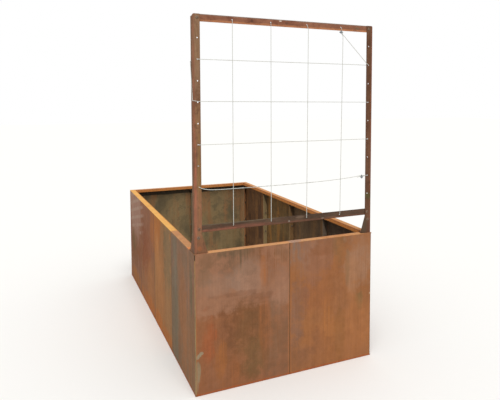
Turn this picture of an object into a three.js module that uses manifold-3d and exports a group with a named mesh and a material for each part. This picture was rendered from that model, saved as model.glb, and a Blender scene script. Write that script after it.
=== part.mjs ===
// Weathering-steel planter with a climbing trellis at one short end.
// Millimetres, +Z up. The origin is at the centre of the footprint, on the ground.
// The trellis stands over the wall at -Y. The long walls run along Y.
import * as THREE from 'three';
import { mergeVertices } from 'three/addons/utils/BufferGeometryUtils.js';
import Module from 'manifold-3d';

const wasm = await Module();
wasm.setup();

// Overall sizes
const planterWidth = 1000;
const planterLength = 2000;
const wallHeight = 700;
const totalHeight = 1830;

// Folded wall panels
const panelsAcross = 2;
const panelsAlong = 4;
const sheet = 2;
const rimWidth = 40;
const lipDepth = 20;
const groundReturn = 30;
const foldRelief = 4;
const lipClearance = 2;
const seamGap = 0.3;

// Bolted seams between panels
const seamBoltPitch = 300;
const lowestSeamBolt = 220;
const boltRadius = 4;
const boltHoleRadius = 4.5;
const hexHeadHeight = 5.5;
const hexNutHeight = 6.5;
const hexAcrossFlats = 13;
const threadPastNut = 3;
const roundSides = 8;

// Trellis frame
const trellisInset = 6;
const trellisSideInset = 4;
const plate = 3;
const stileWidth = 37;
const stileDepth = 28;
const stileCornerRadius = 10;
const flareWidth = 65;
const sideFlareDepth = 80;
const flareHeight = 95;
const railHeight = 35;
const railDepth = 30;
const plantGap = 100;
const laceHoleRadius = 3.3;
const stileHolePitch = 100;
const railHolePitch = 200;
const stileHoleGauge = 24;
const firstStileHoleDrop = 110;
const stileHoleMargin = 60;
const railHoleMargin = 50;
const domeHeadRadius = 8;
const domeHeadHeight = 3.5;
const domeSides = 12;

// Brackets that hold the stiles to the rim
const bracketHeight = 90;
const bracketBoltHeight = 76;
const bracketBoltGauge = 20;
const bracketEdge = 3;
const bracketTabWidth = 54;
const bracketTabDepth = 29;
const rimBoltGauge = 23;
const rimBoltReach = 50;

// Lacing wire and its clips
const wireRadius = 1.5;
const wireBend = 1.1;
const wireTail = 28;
const wireLead = 4;
const columnSlantWidth = 7;
const columnSlantHeight = 22;
const firstRowForward = 60;
const lastRowSag = 19;
const lastRowKink = 28;
const clipStraight = 9;
const clipBelowRail = 8;
const clipBesideHole = 6;
const clipFromStile = 23;
const clipLegRadius = 1.6;
const clipSaddleLength = 13;
const clipSaddleThickness = 5;
const clipNutAcrossFlats = 6;
const clipNutHeight = 3.2;
const clipThreadPastNut = 2;

// Running clearance between pieces that rest on or pass through each other
const fit = 0.3;

// How far a cut runs on past the sheet it cuts
const cutPast = 1;

const corten = { color: 0x95663f, roughness: 0.86, metalness: 0.25 };
const cortenDark = { color: 0x6f4a33, roughness: 0.88, metalness: 0.25 };
const rustedSteel = { color: 0x7a543c, roughness: 0.8, metalness: 0.4 };
const galvanised = { color: 0xc3c5c2, roughness: 0.42, metalness: 0.85 };

const planter = new THREE.Group();
planter.name = 'planter_with_trellis';

const axisX = new THREE.Vector3(1, 0, 0);
const axisY = new THREE.Vector3(0, 1, 0);
const axisZ = new THREE.Vector3(0, 0, 1);
const downwards = new THREE.Vector3(0, 0, -1);

// ---------------------------------------------------------------- solids

function asSolid(geometry) {
  const bare = geometry.clone();
  bare.deleteAttribute('normal');
  bare.deleteAttribute('uv');
  const welded = mergeVertices(bare);
  const vertProperties = new Float32Array(welded.attributes.position.array);
  const triVerts = new Uint32Array(welded.index.array);
  return new wasm.Manifold(new wasm.Mesh({ numProp: 3, vertProperties, triVerts }));
}

function asGeometry(solid) {
  const { vertProperties, triVerts } = solid.getMesh();
  const geometry = new THREE.BufferGeometry();
  geometry.setAttribute('position', new THREE.BufferAttribute(vertProperties, 3));
  geometry.setIndex(new THREE.BufferAttribute(triVerts, 1));
  return geometry;
}

function joined(solids) {
  return solids.reduce((sum, next) => sum.add(next));
}

function drilled(solid, holes) {
  return holes.reduce((rest, hole) => rest.subtract(hole), solid);
}

function addPiece(group, name, solid, finish) {
  const geometry = asGeometry(solid);
  geometry.computeVertexNormals();
  const mesh = new THREE.Mesh(geometry, new THREE.MeshStandardMaterial(finish));
  mesh.name = name;
  group.add(mesh);
  return mesh;
}

function block(x0, x1, y0, y1, z0, z1) {
  const geometry = new THREE.BoxGeometry(x1 - x0, y1 - y0, z1 - z0);
  geometry.translate((x0 + x1) / 2, (y0 + y1) / 2, (z0 + z1) / 2);
  return asSolid(geometry);
}

// A straight prism of the outline. It starts at `start` along the cross product of the axes.
function prism(outline, across, up, start, depth) {
  const geometry = new THREE.ExtrudeGeometry(outline, { depth, bevelEnabled: false });
  geometry.translate(0, 0, start);
  const along = new THREE.Vector3().crossVectors(across, up);
  geometry.applyMatrix4(new THREE.Matrix4().makeBasis(across, up, along));
  return asSolid(geometry);
}

// A round or polygonal rod from `base` along `direction`.
function rod(radius, length, sides, base, direction) {
  const geometry = new THREE.CylinderGeometry(radius, radius, length, sides);
  geometry.translate(0, length / 2, 0);
  const turn = new THREE.Quaternion().setFromUnitVectors(axisY, direction.clone().normalize());
  geometry.applyQuaternion(turn);
  geometry.translate(base.x, base.y, base.z);
  return asSolid(geometry);
}

function hexRadius(acrossFlats) {
  return acrossFlats / Math.sqrt(3);
}

function at(x, y, z) {
  return new THREE.Vector3(x, y, z);
}

function ahead(point, direction, distance) {
  return point.clone().addScaledVector(direction, distance);
}

// ---------------------------------------------------------------- fasteners
// A joint is a stack of plates, `grip` thick. Its bolt enters at `point` along `direction`
// and screws into a nut that is welded to the last plate of the stack.

function shankLength(grip) {
  return grip + hexNutHeight + threadPastNut;
}

function hexBolt(point, direction, grip) {
  const headBase = ahead(point, direction, -fit - hexHeadHeight);
  const head = rod(hexRadius(hexAcrossFlats), hexHeadHeight, 6, headBase, direction);
  const start = ahead(headBase, direction, hexHeadHeight / 2);
  const length = hexHeadHeight / 2 + fit + shankLength(grip);
  return head.add(rod(boltRadius, length, roundSides, start, direction));
}

function domeBolt(point, direction, grip) {
  const profile = [new THREE.Vector2(0, -domeHeadHeight)];
  const rings = 3;
  for (let ring = 1; ring <= rings; ring += 1) {
    const angle = (ring / rings) * (Math.PI / 2);
    const radius = domeHeadRadius * Math.sin(angle);
    profile.push(new THREE.Vector2(radius, -domeHeadHeight * Math.cos(angle)));
  }
  profile.push(new THREE.Vector2(0, 0));
  const geometry = new THREE.LatheGeometry(profile, domeSides);
  const turn = new THREE.Quaternion().setFromUnitVectors(axisY, direction);
  geometry.applyQuaternion(turn);
  const seat = ahead(point, direction, -fit);
  geometry.translate(seat.x, seat.y, seat.z);
  const start = ahead(seat, direction, -domeHeadHeight / 2);
  const length = domeHeadHeight / 2 + fit + shankLength(grip);
  return asSolid(geometry).add(rod(boltRadius, length, roundSides, start, direction));
}

// The nut is sunk a little into its plate as weld, and its bore is cut with the plate's hole.
function weldNut(point, direction, grip) {
  const weld = sheet / 4;
  const base = ahead(point, direction, grip - weld);
  return rod(hexRadius(hexAcrossFlats), hexNutHeight + weld, 6, base, direction);
}

function boltHole(point, direction, depth) {
  const start = ahead(point, direction, -depth);
  return rod(boltHoleRadius, 3 * depth + 2 * hexNutHeight, roundSides, start, direction);
}

// ---------------------------------------------------------------- wall panels
// A wall is built in its own frame: x runs along it, y points inwards from its outer
// face, z is up. Each wall is then turned into place about the Z axis.

const flangeDepth = rimWidth - sheet - lipClearance;
const flangeBase = sheet + foldRelief;
const flangeTop = wallHeight - sheet - foldRelief;
const seamBoltInset = (sheet + flangeDepth) / 2;
const seamStack = 2 * sheet + seamGap;
const cornerReach = Math.SQRT2 * (rimWidth - sheet) - lipClearance - foldRelief;
const cornerBoltReach = (sheet + cornerReach) / 2;
const mitreGap = (seamGap / 2) * Math.SQRT2;

const seamBoltHeights = { lower: lowestSeamBolt, upper: lowestSeamBolt + seamBoltPitch };

function wallSection() {
  const lipBottom = wallHeight - lipDepth;
  const underRim = wallHeight - sheet;
  const outline = new THREE.Shape();
  outline.moveTo(0, 0);
  outline.lineTo(groundReturn, 0);
  outline.lineTo(groundReturn, sheet);
  outline.lineTo(sheet, sheet);
  outline.lineTo(sheet, underRim);
  outline.lineTo(rimWidth - sheet, underRim);
  outline.lineTo(rimWidth - sheet, lipBottom);
  outline.lineTo(rimWidth, lipBottom);
  outline.lineTo(rimWidth, wallHeight);
  outline.lineTo(0, wallHeight);
  outline.closePath();
  return outline;
}

// The folded sheet runs from x = 0 to x = span. A corner end is cut on the mitre.
function foldedSheet(span, cornerAtStart, cornerAtEnd) {
  const geometry = new THREE.ExtrudeGeometry(wallSection(), { depth: span, bevelEnabled: false });
  geometry.applyMatrix4(new THREE.Matrix4().makeBasis(axisY, axisZ, axisX));
  const place = geometry.attributes.position;
  for (let index = 0; index < place.count; index += 1) {
    const inward = place.getY(index);
    if (place.getX(index) < span / 2) {
      place.setX(index, cornerAtStart ? inward + mitreGap : seamGap / 2);
    } else {
      place.setX(index, cornerAtEnd ? span - inward - mitreGap : span - seamGap / 2);
    }
  }
  return asSolid(geometry);
}

// A flange folded square to the wall, for a seam in the run of the wall. The seam's
// bolts enter from the panel before it, and their nuts are on the panel after it.
function seamFlange(atX, intoPanel) {
  const near = atX + intoPanel * (seamGap / 2);
  const far = near + intoPanel * sheet;
  const start = Math.min(near, far);
  const flange = block(start, start + sheet, sheet / 2, flangeDepth, flangeBase, flangeTop);
  const heights = Object.values(seamBoltHeights);
  const points = heights.map((height) => at(start, seamBoltInset, height));
  const nuts = intoPanel > 0 ? points.map((point) => weldNut(point, axisX, sheet)) : [];
  return drilled(joined([flange, ...nuts]), points.map((point) => boltHole(point, axisX, sheet)));
}

// A flange folded to 45 degrees, so that two of them meet on the corner's diagonal.
function cornerFlange(atX, intoPanel) {
  const diagonal = at(intoPanel, 1, 0).normalize();
  const inward = at(intoPanel, -1, 0).normalize();
  const corner = at(atX, 0, 0);
  const near = seamGap / 2;
  const far = near + sheet;
  const place = (reach, offset) => ahead(ahead(corner, diagonal, reach), inward, offset);
  const ends = [place(far, near), place(cornerReach, near), place(cornerReach, far), place(far, far)];
  const outline = new THREE.Shape(ends.map((end) => new THREE.Vector2(end.x, end.y)));
  const flange = prism(outline, axisX, axisY, flangeBase, flangeTop - flangeBase);
  const points = Object.values(seamBoltHeights).map((height) => place(cornerBoltReach, near).setZ(height));
  const nuts = intoPanel > 0 ? points.map((point) => weldNut(point, inward, sheet)) : [];
  return drilled(joined([flange, ...nuts]), points.map((point) => boltHole(point, inward, sheet)));
}

// The bolts of the trellis brackets go through the rim at the places `rimBolts`, as [x, y].
function panel(span, cornerAtStart, cornerAtEnd, rimBolts) {
  const points = rimBolts.map(([x, y]) => at(x, y, wallHeight));
  const nuts = points.map((point) => weldNut(point, downwards, sheet));
  const startFlange = cornerAtStart ? cornerFlange(0, 1) : seamFlange(0, 1);
  const endFlange = cornerAtEnd ? cornerFlange(span, -1) : seamFlange(span, -1);
  const body = joined([foldedSheet(span, cornerAtStart, cornerAtEnd), startFlange, endFlange, ...nuts]);
  return drilled(body, points.map((point) => boltHole(point, downwards, sheet)));
}

// One wall: its panels, named in order along it, and the bolts of the seams between them.
function buildWall(name, wallLength, panelNames, turn, centre, rimBolts) {
  const wall = new THREE.Group();
  wall.rotation.z = turn;
  wall.position.copy(centre);
  const span = wallLength / panelNames.length;
  panelNames.forEach((panelName, index) => {
    const start = -wallLength / 2 + index * span;
    const here = rimBolts.filter(([x]) => x > start && x < start + span);
    const local = here.map(([x, y]) => [x - start, y]);
    const solid = panel(span, index === 0, index === panelNames.length - 1, local);
    addPiece(wall, panelName, solid.translate([start, 0, 0]), corten);
    if (index > 0) addSeamBolts(wall, `${name}_seam_${index}`, start);
  });
  planter.add(wall);
}

function addSeamBolts(wall, name, atX) {
  for (const [level, height] of Object.entries(seamBoltHeights)) {
    const point = at(atX - seamStack / 2, seamBoltInset, height);
    addPiece(wall, `${name}_bolt_${level}`, hexBolt(point, axisX, seamStack), rustedSteel);
  }
}

// ---------------------------------------------------------------- trellis frame
// The frame's front face is the plane y = frontFace, its outer edges are at x = +-frameHalf.

const frameHalf = planterWidth / 2 - trellisSideInset;
const frontFace = -planterLength / 2 + trellisInset;
const stileBack = frontFace + plate;
const railFront = stileBack + fit;
const railBack = railFront + plate;
const lapGrip = railBack - frontFace;
const stileBase = wallHeight + fit;
const stileInner = frameHalf - stileWidth;
const railHalf = frameHalf - stileCornerRadius;
const topHoleLine = totalHeight - railHeight / 2;
const bottomRailTop = wallHeight + plantGap + railHeight;
const bottomHoleLine = bottomRailTop - railHeight / 2;
const stileHoleX = frameHalf - stileHoleGauge;
const bracketBoltX = frameHalf - bracketBoltGauge;
const bracketBoltZ = wallHeight + bracketBoltHeight;

function stileHoleHeights() {
  const heights = [];
  let height = totalHeight - firstStileHoleDrop;
  while (height > bottomRailTop + stileHoleMargin) {
    heights.push(height);
    height -= stileHolePitch;
  }
  return heights;
}

function railHolePlaces() {
  const reach = stileInner - railHoleMargin;
  const pairs = Math.floor(reach / railHolePitch + 0.5);
  return Array.from({ length: 2 * pairs }, (_, index) => (index - pairs + 0.5) * railHolePitch);
}

function frontPoint(x, z) {
  return at(x, frontFace, z);
}

function laceHole(x, z) {
  const start = ahead(frontPoint(x, z), axisY, -plate);
  return rod(laceHoleRadius, lapGrip + 2 * plate, roundSides, start, axisY);
}

function frameBoltHole(x, z) {
  return boltHole(frontPoint(x, z), axisY, lapGrip);
}

function stileFace(side) {
  const x = (inwards) => side * (frameHalf - inwards);
  const outline = new THREE.Shape();
  outline.moveTo(x(0), stileBase);
  outline.lineTo(x(flareWidth), stileBase);
  outline.lineTo(x(stileWidth), wallHeight + flareHeight);
  outline.lineTo(x(stileWidth), totalHeight);
  const arcSteps = 4;
  for (let step = 0; step <= arcSteps; step += 1) {
    const angle = (step / arcSteps) * (Math.PI / 2);
    const inwards = stileCornerRadius * (1 - Math.sin(angle));
    outline.lineTo(x(inwards), totalHeight - stileCornerRadius * (1 - Math.cos(angle)));
  }
  outline.closePath();
  return prism(outline, axisX, axisZ, -stileBack, plate);
}

function stileSide(side) {
  const outline = new THREE.Shape();
  outline.moveTo(frontFace, stileBase);
  outline.lineTo(frontFace + sideFlareDepth, stileBase);
  outline.lineTo(frontFace + stileDepth, wallHeight + flareHeight);
  outline.lineTo(frontFace + stileDepth, totalHeight - stileCornerRadius);
  outline.lineTo(frontFace, totalHeight - stileCornerRadius);
  outline.closePath();
  const start = side > 0 ? frameHalf - plate : -frameHalf;
  return prism(outline, axisY, axisZ, start, plate);
}

function buildStile(name, side) {
  const lacing = stileHoleHeights().map((z) => laceHole(side * stileHoleX, z));
  const joints = [topHoleLine, bottomHoleLine].map((z) => frameBoltHole(side * stileHoleX, z));
  const bracketHole = frameBoltHole(side * bracketBoltX, bracketBoltZ);
  const angle = stileFace(side).add(stileSide(side));
  addPiece(planter, name, drilled(angle, [...lacing, ...joints, bracketHole]), cortenDark);
}

// The flange of a rail is on the frame's outside: at the top of the top rail, at the foot of the
// bottom rail.
function buildRail(name, topZ, flangeUp) {
  const z = (inwards) => (flangeUp > 0 ? topZ - inwards : topZ - railHeight + inwards);
  const outline = new THREE.Shape();
  outline.moveTo(railFront, z(railHeight));
  outline.lineTo(railBack, z(railHeight));
  outline.lineTo(railBack, z(plate));
  outline.lineTo(railFront + railDepth, z(plate));
  outline.lineTo(railFront + railDepth, z(0));
  outline.lineTo(railFront, z(0));
  outline.closePath();
  const angle = prism(outline, axisY, axisZ, -railHalf, 2 * railHalf);
  const holeLine = topZ - railHeight / 2;
  const ends = [-stileHoleX, stileHoleX];
  const nuts = ends.map((x) => weldNut(frontPoint(x, holeLine), axisY, lapGrip));
  const joints = ends.map((x) => frameBoltHole(x, holeLine));
  const lacing = railHolePlaces().map((x) => laceHole(x, holeLine));
  addPiece(planter, name, drilled(joined([angle, ...nuts]), [...lacing, ...joints]), cortenDark);
}

// ---------------------------------------------------------------- brackets on the rim

const bracketOuter = frameHalf - plate - fit;
const bracketSpan = flareWidth - plate - fit - bracketEdge;
const bracketBase = wallHeight + fit;
const bracketSlope = (flareWidth - stileWidth) / flareHeight;
const rimBoltX = planterWidth / 2 - rimBoltReach;
const rimBoltY = rimBoltGauge - planterLength / 2;
const rimGrip = plate + fit + sheet;

function buildBracket(name, side) {
  const x = (inwards) => side * (bracketOuter - inwards);
  const face = new THREE.Shape();
  face.moveTo(x(0), bracketBase);
  face.lineTo(x(bracketSpan), bracketBase);
  face.lineTo(x(bracketSpan - bracketSlope * bracketHeight), bracketBase + bracketHeight);
  face.lineTo(x(0), bracketBase + bracketHeight);
  face.closePath();
  const upright = prism(face, axisX, axisZ, -railBack, plate);

  const tab = new THREE.Shape();
  tab.moveTo(x(0), railFront);
  tab.lineTo(x(bracketTabWidth), railFront);
  tab.lineTo(x(bracketTabWidth), railFront + bracketTabDepth);
  tab.lineTo(x(0), railFront + bracketTabDepth);
  tab.closePath();
  const base = prism(tab, axisX, axisY, bracketBase, plate);

  const nut = weldNut(frontPoint(side * bracketBoltX, bracketBoltZ), axisY, lapGrip);
  const stileBolt = frameBoltHole(side * bracketBoltX, bracketBoltZ);
  const rimBolt = boltHole(at(side * rimBoltX, rimBoltY, bracketBase), axisZ, plate);
  addPiece(planter, name, drilled(joined([upright, base, nut]), [stileBolt, rimBolt]), cortenDark);
}

// ---------------------------------------------------------------- lacing wire

const overRail = railFront - fit - wireRadius;
const behindRail = railBack + fit + wireRadius;
const overStile = frontFace - fit - wireRadius;
const behindStile = stileBack + fit + wireRadius;
const besideStile = -frameHalf - fit - wireRadius;
const insideStile = -frameHalf + plate + fit + wireRadius;
const pastStile = frontFace + stileDepth + fit + wireRadius;
const holeSlack = laceHoleRadius * Math.cos(Math.PI / roundSides) - wireRadius - fit;
const strandPitch = 2 * wireRadius + fit;
const strand = strandPitch / 2;

// The wire's line is a chain of straight stretches.
class Chain extends THREE.Curve {
  constructor(points) {
    super();
    this.points = points;
  }

  getPointAt(u, target = new THREE.Vector3()) {
    const place = u * (this.points.length - 1);
    const before = Math.min(Math.floor(place), this.points.length - 2);
    return target.lerpVectors(this.points[before], this.points[before + 1], place - before);
  }

  stretch(index) {
    return new THREE.Vector3().subVectors(this.points[index + 1], this.points[index]).normalize();
  }

  getTangentAt(u, target = new THREE.Vector3()) {
    const last = this.points.length - 1;
    const index = Math.round(u * last);
    const arriving = this.stretch(Math.max(index - 1, 0));
    const leaving = this.stretch(Math.min(index, last - 1));
    return target.addVectors(arriving, leaving).normalize();
  }
}

// Each sharp bend of the route becomes two gentler ones.
function eased(route) {
  const points = [route[0]];
  const nearlyStraight = THREE.MathUtils.degToRad(150);
  for (let index = 1; index < route.length - 1; index += 1) {
    const here = route[index];
    const back = new THREE.Vector3().subVectors(route[index - 1], here);
    const forth = new THREE.Vector3().subVectors(route[index + 1], here);
    const trim = Math.min(wireBend, back.length() / 3, forth.length() / 3);
    if (back.angleTo(forth) > nearlyStraight) {
      points.push(here);
    } else {
      points.push(ahead(here, back.normalize(), trim), ahead(here, forth.normalize(), trim));
    }
  }
  points.push(route[route.length - 1]);
  return points;
}

function tube(points, radius) {
  const section = new THREE.Shape();
  for (let side = 0; side < roundSides; side += 1) {
    const angle = (2 * Math.PI * side) / roundSides;
    const x = radius * Math.cos(angle);
    const y = radius * Math.sin(angle);
    if (side === 0) section.moveTo(x, y);
    else section.lineTo(x, y);
  }
  section.closePath();
  const options = { steps: points.length - 1, extrudePath: new Chain(points), bevelEnabled: false };
  return asSolid(new THREE.ExtrudeGeometry(section, options));
}

// The wire runs through each hole of the rails and every second hole of the stiles.
// Its columns end at the top, and an even number of rows brings it back to the right stile.
const columns = railHolePlaces();
const everySecondHole = stileHoleHeights().filter((_, index) => index % 2 === 1);
const rows = everySecondHole.slice(everySecondHole.length % 2);
const underTop = topHoleLine - holeSlack;
const overBottom = bottomHoleLine + holeSlack;
const leftHole = -stileHoleX + holeSlack;
const rightHole = stileHoleX - holeSlack;
const firstRow = rows[0];
const lastRow = rows[rows.length - 1];
const lastColumn = columns[columns.length - 1];
const underTopRail = totalHeight - railHeight;

// One clip closes the loop round the top rail, the other the loop round the right stile.
const topClip = at(lastColumn + clipBesideHole, overRail, underTopRail - clipBelowRail);
const sideClip = at(stileInner - clipFromStile, overRail, lastRow - strand);

// Up and down the columns, from the left one. The last one stops short, for the top clip.
function columnRoute() {
  const route = [at(columns[0] - wireTail, behindRail, underTop)];
  columns.forEach((x, index) => {
    const up = index % 2 === 1;
    const top = [at(x, behindRail, underTop), at(x, overRail, underTop)];
    const bottom = [at(x, behindRail, overBottom), at(x, overRail, overBottom)];
    const slant = [at(x + columnSlantWidth, overRail, underTop - columnSlantHeight)];
    if (!up) route.push(...top, ...(x > 0 ? slant : []), ...bottom.reverse());
    else if (x === lastColumn) route.push(...bottom);
    else route.push(...bottom, ...top.reverse());
  });
  return route;
}

// Through the top clip, over the rail, in at its hole, down behind it and back to the clip.
function topLoopRoute() {
  return [
    at(topClip.x + strand + wireLead, overRail, topClip.z - clipStraight - 3 * wireLead),
    at(topClip.x - strand, overRail, topClip.z - clipStraight),
    at(topClip.x - strand, overRail, underTopRail),
    at(lastColumn, overRail, underTop),
    at(lastColumn, behindRail, underTop),
    at(lastColumn + wireLead, behindRail, underTopRail - wireLead),
    at(topClip.x + strand, overRail, topClip.z + wireLead),
    at(topClip.x + strand, overRail, topClip.z - clipStraight),
  ];
}

// Over the right stile and in at its hole, across behind it, over the left stile and in,
// round the left stile's flange and over its face, across again, and so on down.
function rowRoute() {
  const route = [
    at(stileInner - wireLead, overStile, firstRow + 3 * wireLead),
    at(rightHole, overStile, firstRow),
    at(rightHole, behindStile, firstRow),
    at(stileInner - 2 * wireLead, behindStile, firstRow),
    at(lastColumn + firstRowForward, overStile, firstRow),
    at(leftHole, overStile, firstRow),
    at(leftHole, behindStile, firstRow),
    at(insideStile, pastStile, firstRow - 2 * wireLead),
    at(besideStile, pastStile, firstRow - 2 * wireLead),
    at(besideStile, overStile, rows[1] + 2 * wireLead),
    at(leftHole, overStile, rows[1] + wireLead),
  ];
  rows.slice(1).forEach((z, index) => {
    const toRight = index % 2 === 0;
    const nearHole = toRight ? leftHole : rightHole;
    const farHole = toRight ? rightHole : leftHole;
    if (index > 0) route.push(at(nearHole, behindStile, z), at(nearHole, overStile, z));
    if (z !== lastRow) route.push(at(farHole, overStile, z), at(farHole, behindStile, z));
  });
  return route;
}

// The last row leaves its hole with a kink, hangs slack and rises to the side clip.
function hangingRoute() {
  const steps = 6;
  const span = sideClip.x - clipStraight - leftHole;
  return Array.from({ length: steps - 1 }, (_, index) => {
    const share = ((index + 1) / steps) ** 2;
    const kink = 1 - Math.exp((-share * span) / lastRowKink);
    const drop = lastRowSag * kink * (1 - share ** 5);
    return at(leftHole + share * span, overStile, lastRow - drop);
  });
}

// Through the side clip, in at the right stile's hole, back behind it and through the clip.
function sideLoopRoute() {
  const clipStart = sideClip.x - clipStraight;
  const clipEnd = sideClip.x + clipStraight;
  return [
    at(clipStart, overRail, sideClip.z + strand),
    at(clipEnd, overRail, sideClip.z + strand),
    at(stileInner - wireLead / 2, overStile, lastRow),
    at(rightHole, overStile, lastRow),
    at(rightHole, behindStile, lastRow),
    at(stileInner - wireLead, behindStile, lastRow - wireLead),
    at(clipEnd, overRail, sideClip.z - strand),
    at(clipStart, overRail, sideClip.z - strand),
    at(clipStart + clipStraight - wireTail, overRail, sideClip.z - strand - wireLead),
  ];
}

// A wire clip in its own frame: the two strands lie along z, side by side along x.
function buildClip(name, centre, turn) {
  const group = new THREE.Group();
  group.position.copy(centre);
  group.rotation.y = turn;
  const legY = wireRadius + fit + clipLegRadius;
  const seat = strand + wireRadius + fit;
  const nutSeat = seat + clipSaddleThickness + fit;
  const legEnd = nutSeat + clipNutHeight + clipThreadPastNut;

  const line = [at(legEnd, -legY, 0)];
  const arcSteps = 6;
  for (let step = 0; step <= arcSteps; step += 1) {
    const angle = (step / arcSteps) * Math.PI;
    line.push(at(-strand - legY * Math.sin(angle), -legY * Math.cos(angle), 0));
  }
  line.push(at(legEnd, legY, 0));
  addPiece(group, `${name}_u_bolt`, tube(line, clipLegRadius), galvanised);

  const halfWidth = legY + clipLegRadius;
  const halfLength = clipSaddleLength / 2;
  const saddle = block(seat, seat + clipSaddleThickness, -halfWidth, halfWidth, -halfLength, halfLength);
  const legHole = (y, from, depth) =>
    rod(clipLegRadius + fit, depth + 2 * cutPast, roundSides, at(from - cutPast, y, 0), axisX);
  const saddleHoles = [-legY, legY].map((y) => legHole(y, seat, clipSaddleThickness));
  addPiece(group, `${name}_saddle`, drilled(saddle, saddleHoles), galvanised);

  [['nut_front', -legY], ['nut_back', legY]].forEach(([label, y]) => {
    const body = rod(hexRadius(clipNutAcrossFlats), clipNutHeight, 6, at(nutSeat, y, 0), axisX);
    const nut = body.subtract(legHole(y, nutSeat, clipNutHeight));
    addPiece(group, `${name}_${label}`, nut, galvanised);
  });
  planter.add(group);
}

// ---------------------------------------------------------------- assembly

const halfWidth = planterWidth / 2;
const halfLength = planterLength / 2;
const fromCorner = rimBoltReach - halfWidth;

// Panels are numbered from -X to +X and from -Y to +Y on every wall.
function panelNames(wall, count, reversed) {
  const names = Array.from({ length: count }, (_, index) => `${wall}_panel_${index + 1}`);
  return reversed ? names.reverse() : names;
}

function buildWalls() {
  const quarter = Math.PI / 2;
  const rimBolts = [[fromCorner, rimBoltGauge], [-fromCorner, rimBoltGauge]];
  const front = panelNames('front', panelsAcross, false);
  const back = panelNames('back', panelsAcross, true);
  const right = panelNames('right', panelsAlong, false);
  const left = panelNames('left', panelsAlong, true);
  buildWall('front', planterWidth, front, 0, at(0, -halfLength, 0), rimBolts);
  buildWall('back', planterWidth, back, 2 * quarter, at(0, halfLength, 0), []);
  buildWall('right', planterLength, right, quarter, at(halfWidth, 0, 0), []);
  buildWall('left', planterLength, left, -quarter, at(-halfWidth, 0, 0), []);
}

// The bolts of a corner enter from the wall that ends there, into the wall that starts.
function buildCornerBolts() {
  const corners = {
    front_left: [-1, -1, at(1, -1, 0)],
    front_right: [1, -1, at(1, 1, 0)],
    back_right: [1, 1, at(-1, 1, 0)],
    back_left: [-1, 1, at(-1, -1, 0)],
  };
  for (const [name, [sideX, sideY, across]] of Object.entries(corners)) {
    const inwards = at(-sideX, -sideY, 0).normalize();
    const direction = across.normalize();
    const middle = ahead(at(sideX * halfWidth, sideY * halfLength, 0), inwards, cornerBoltReach);
    for (const [level, height] of Object.entries(seamBoltHeights)) {
      const point = ahead(middle.clone().setZ(height), direction, -seamStack / 2);
      addPiece(planter, `${name}_corner_bolt_${level}`, hexBolt(point, direction, seamStack), rustedSteel);
    }
  }
}

function buildTrellis() {
  buildRail('trellis_top_rail', totalHeight, 1);
  buildRail('trellis_bottom_rail', bottomRailTop, -1);
  for (const [label, side] of [['left', -1], ['right', 1]]) {
    buildStile(`trellis_stile_${label}`, side);
    buildBracket(`trellis_bracket_${label}`, side);
    const places = {
      frame_bolt_top: [stileHoleX, topHoleLine],
      frame_bolt_bottom: [stileHoleX, bottomHoleLine],
      bracket_bolt: [bracketBoltX, bracketBoltZ],
    };
    for (const [bolt, [x, z]] of Object.entries(places)) {
      addPiece(planter, `${bolt}_${label}`, domeBolt(frontPoint(side * x, z), axisY, lapGrip), rustedSteel);
    }
    const onRim = at(side * rimBoltX, rimBoltY, bracketBase + plate);
    addPiece(planter, `rim_bolt_${label}`, hexBolt(onRim, downwards, rimGrip), rustedSteel);
  }
}

function buildLacing() {
  const route = [...columnRoute(), ...topLoopRoute(), ...rowRoute()];
  route.push(...hangingRoute(), ...sideLoopRoute());
  addPiece(planter, 'climbing_wire', tube(eased(route), wireRadius), galvanised);
  buildClip('top_clip', topClip, Math.PI);
  buildClip('side_clip', sideClip, Math.PI / 2);
}

buildWalls();
buildCornerBolts();
buildTrellis();
buildLacing();

export default planter;
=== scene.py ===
"""Looks of a weathering-steel planter with a climbing trellis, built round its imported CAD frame.

Metres, +Z up, the origin at the centre of the footprint on the ground, as in the CAD.
The trellis stands over the wall at -Y, and the long walls run along Y.
"""

import math
from collections import namedtuple

import bmesh
import bpy
from bpy.props import FloatProperty, FloatVectorProperty, IntProperty, PointerProperty
from mathutils import Matrix, Vector


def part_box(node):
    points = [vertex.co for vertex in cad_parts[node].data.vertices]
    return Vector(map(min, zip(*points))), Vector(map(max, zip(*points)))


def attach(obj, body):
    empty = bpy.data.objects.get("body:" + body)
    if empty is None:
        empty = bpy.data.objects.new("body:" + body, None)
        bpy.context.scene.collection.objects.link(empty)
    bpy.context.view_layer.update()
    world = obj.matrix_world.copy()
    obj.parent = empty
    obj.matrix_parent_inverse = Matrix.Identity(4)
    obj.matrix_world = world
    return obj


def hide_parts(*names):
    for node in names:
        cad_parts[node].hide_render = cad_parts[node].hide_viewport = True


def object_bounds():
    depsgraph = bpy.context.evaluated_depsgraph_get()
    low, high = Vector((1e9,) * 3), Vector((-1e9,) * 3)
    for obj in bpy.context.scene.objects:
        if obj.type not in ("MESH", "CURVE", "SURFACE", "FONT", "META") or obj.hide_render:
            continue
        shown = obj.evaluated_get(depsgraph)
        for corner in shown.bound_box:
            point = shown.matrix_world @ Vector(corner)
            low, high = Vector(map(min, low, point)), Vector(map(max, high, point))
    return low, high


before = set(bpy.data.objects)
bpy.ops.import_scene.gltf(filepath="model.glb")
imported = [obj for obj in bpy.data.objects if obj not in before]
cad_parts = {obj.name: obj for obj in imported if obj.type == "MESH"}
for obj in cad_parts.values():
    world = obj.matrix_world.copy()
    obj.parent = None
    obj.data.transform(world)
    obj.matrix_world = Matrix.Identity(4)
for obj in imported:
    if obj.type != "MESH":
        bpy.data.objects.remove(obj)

bl_info = {
    "name": "Weathering-steel planter with trellis",
    "version": (1, 0, 0),
    "blender": (4, 5, 0),
    "location": "View3D > Sidebar > Planter",
    "description": "Builds the folded wall panels, the bolted trellis and its laced wire",
    "category": "Object",
}

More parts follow.
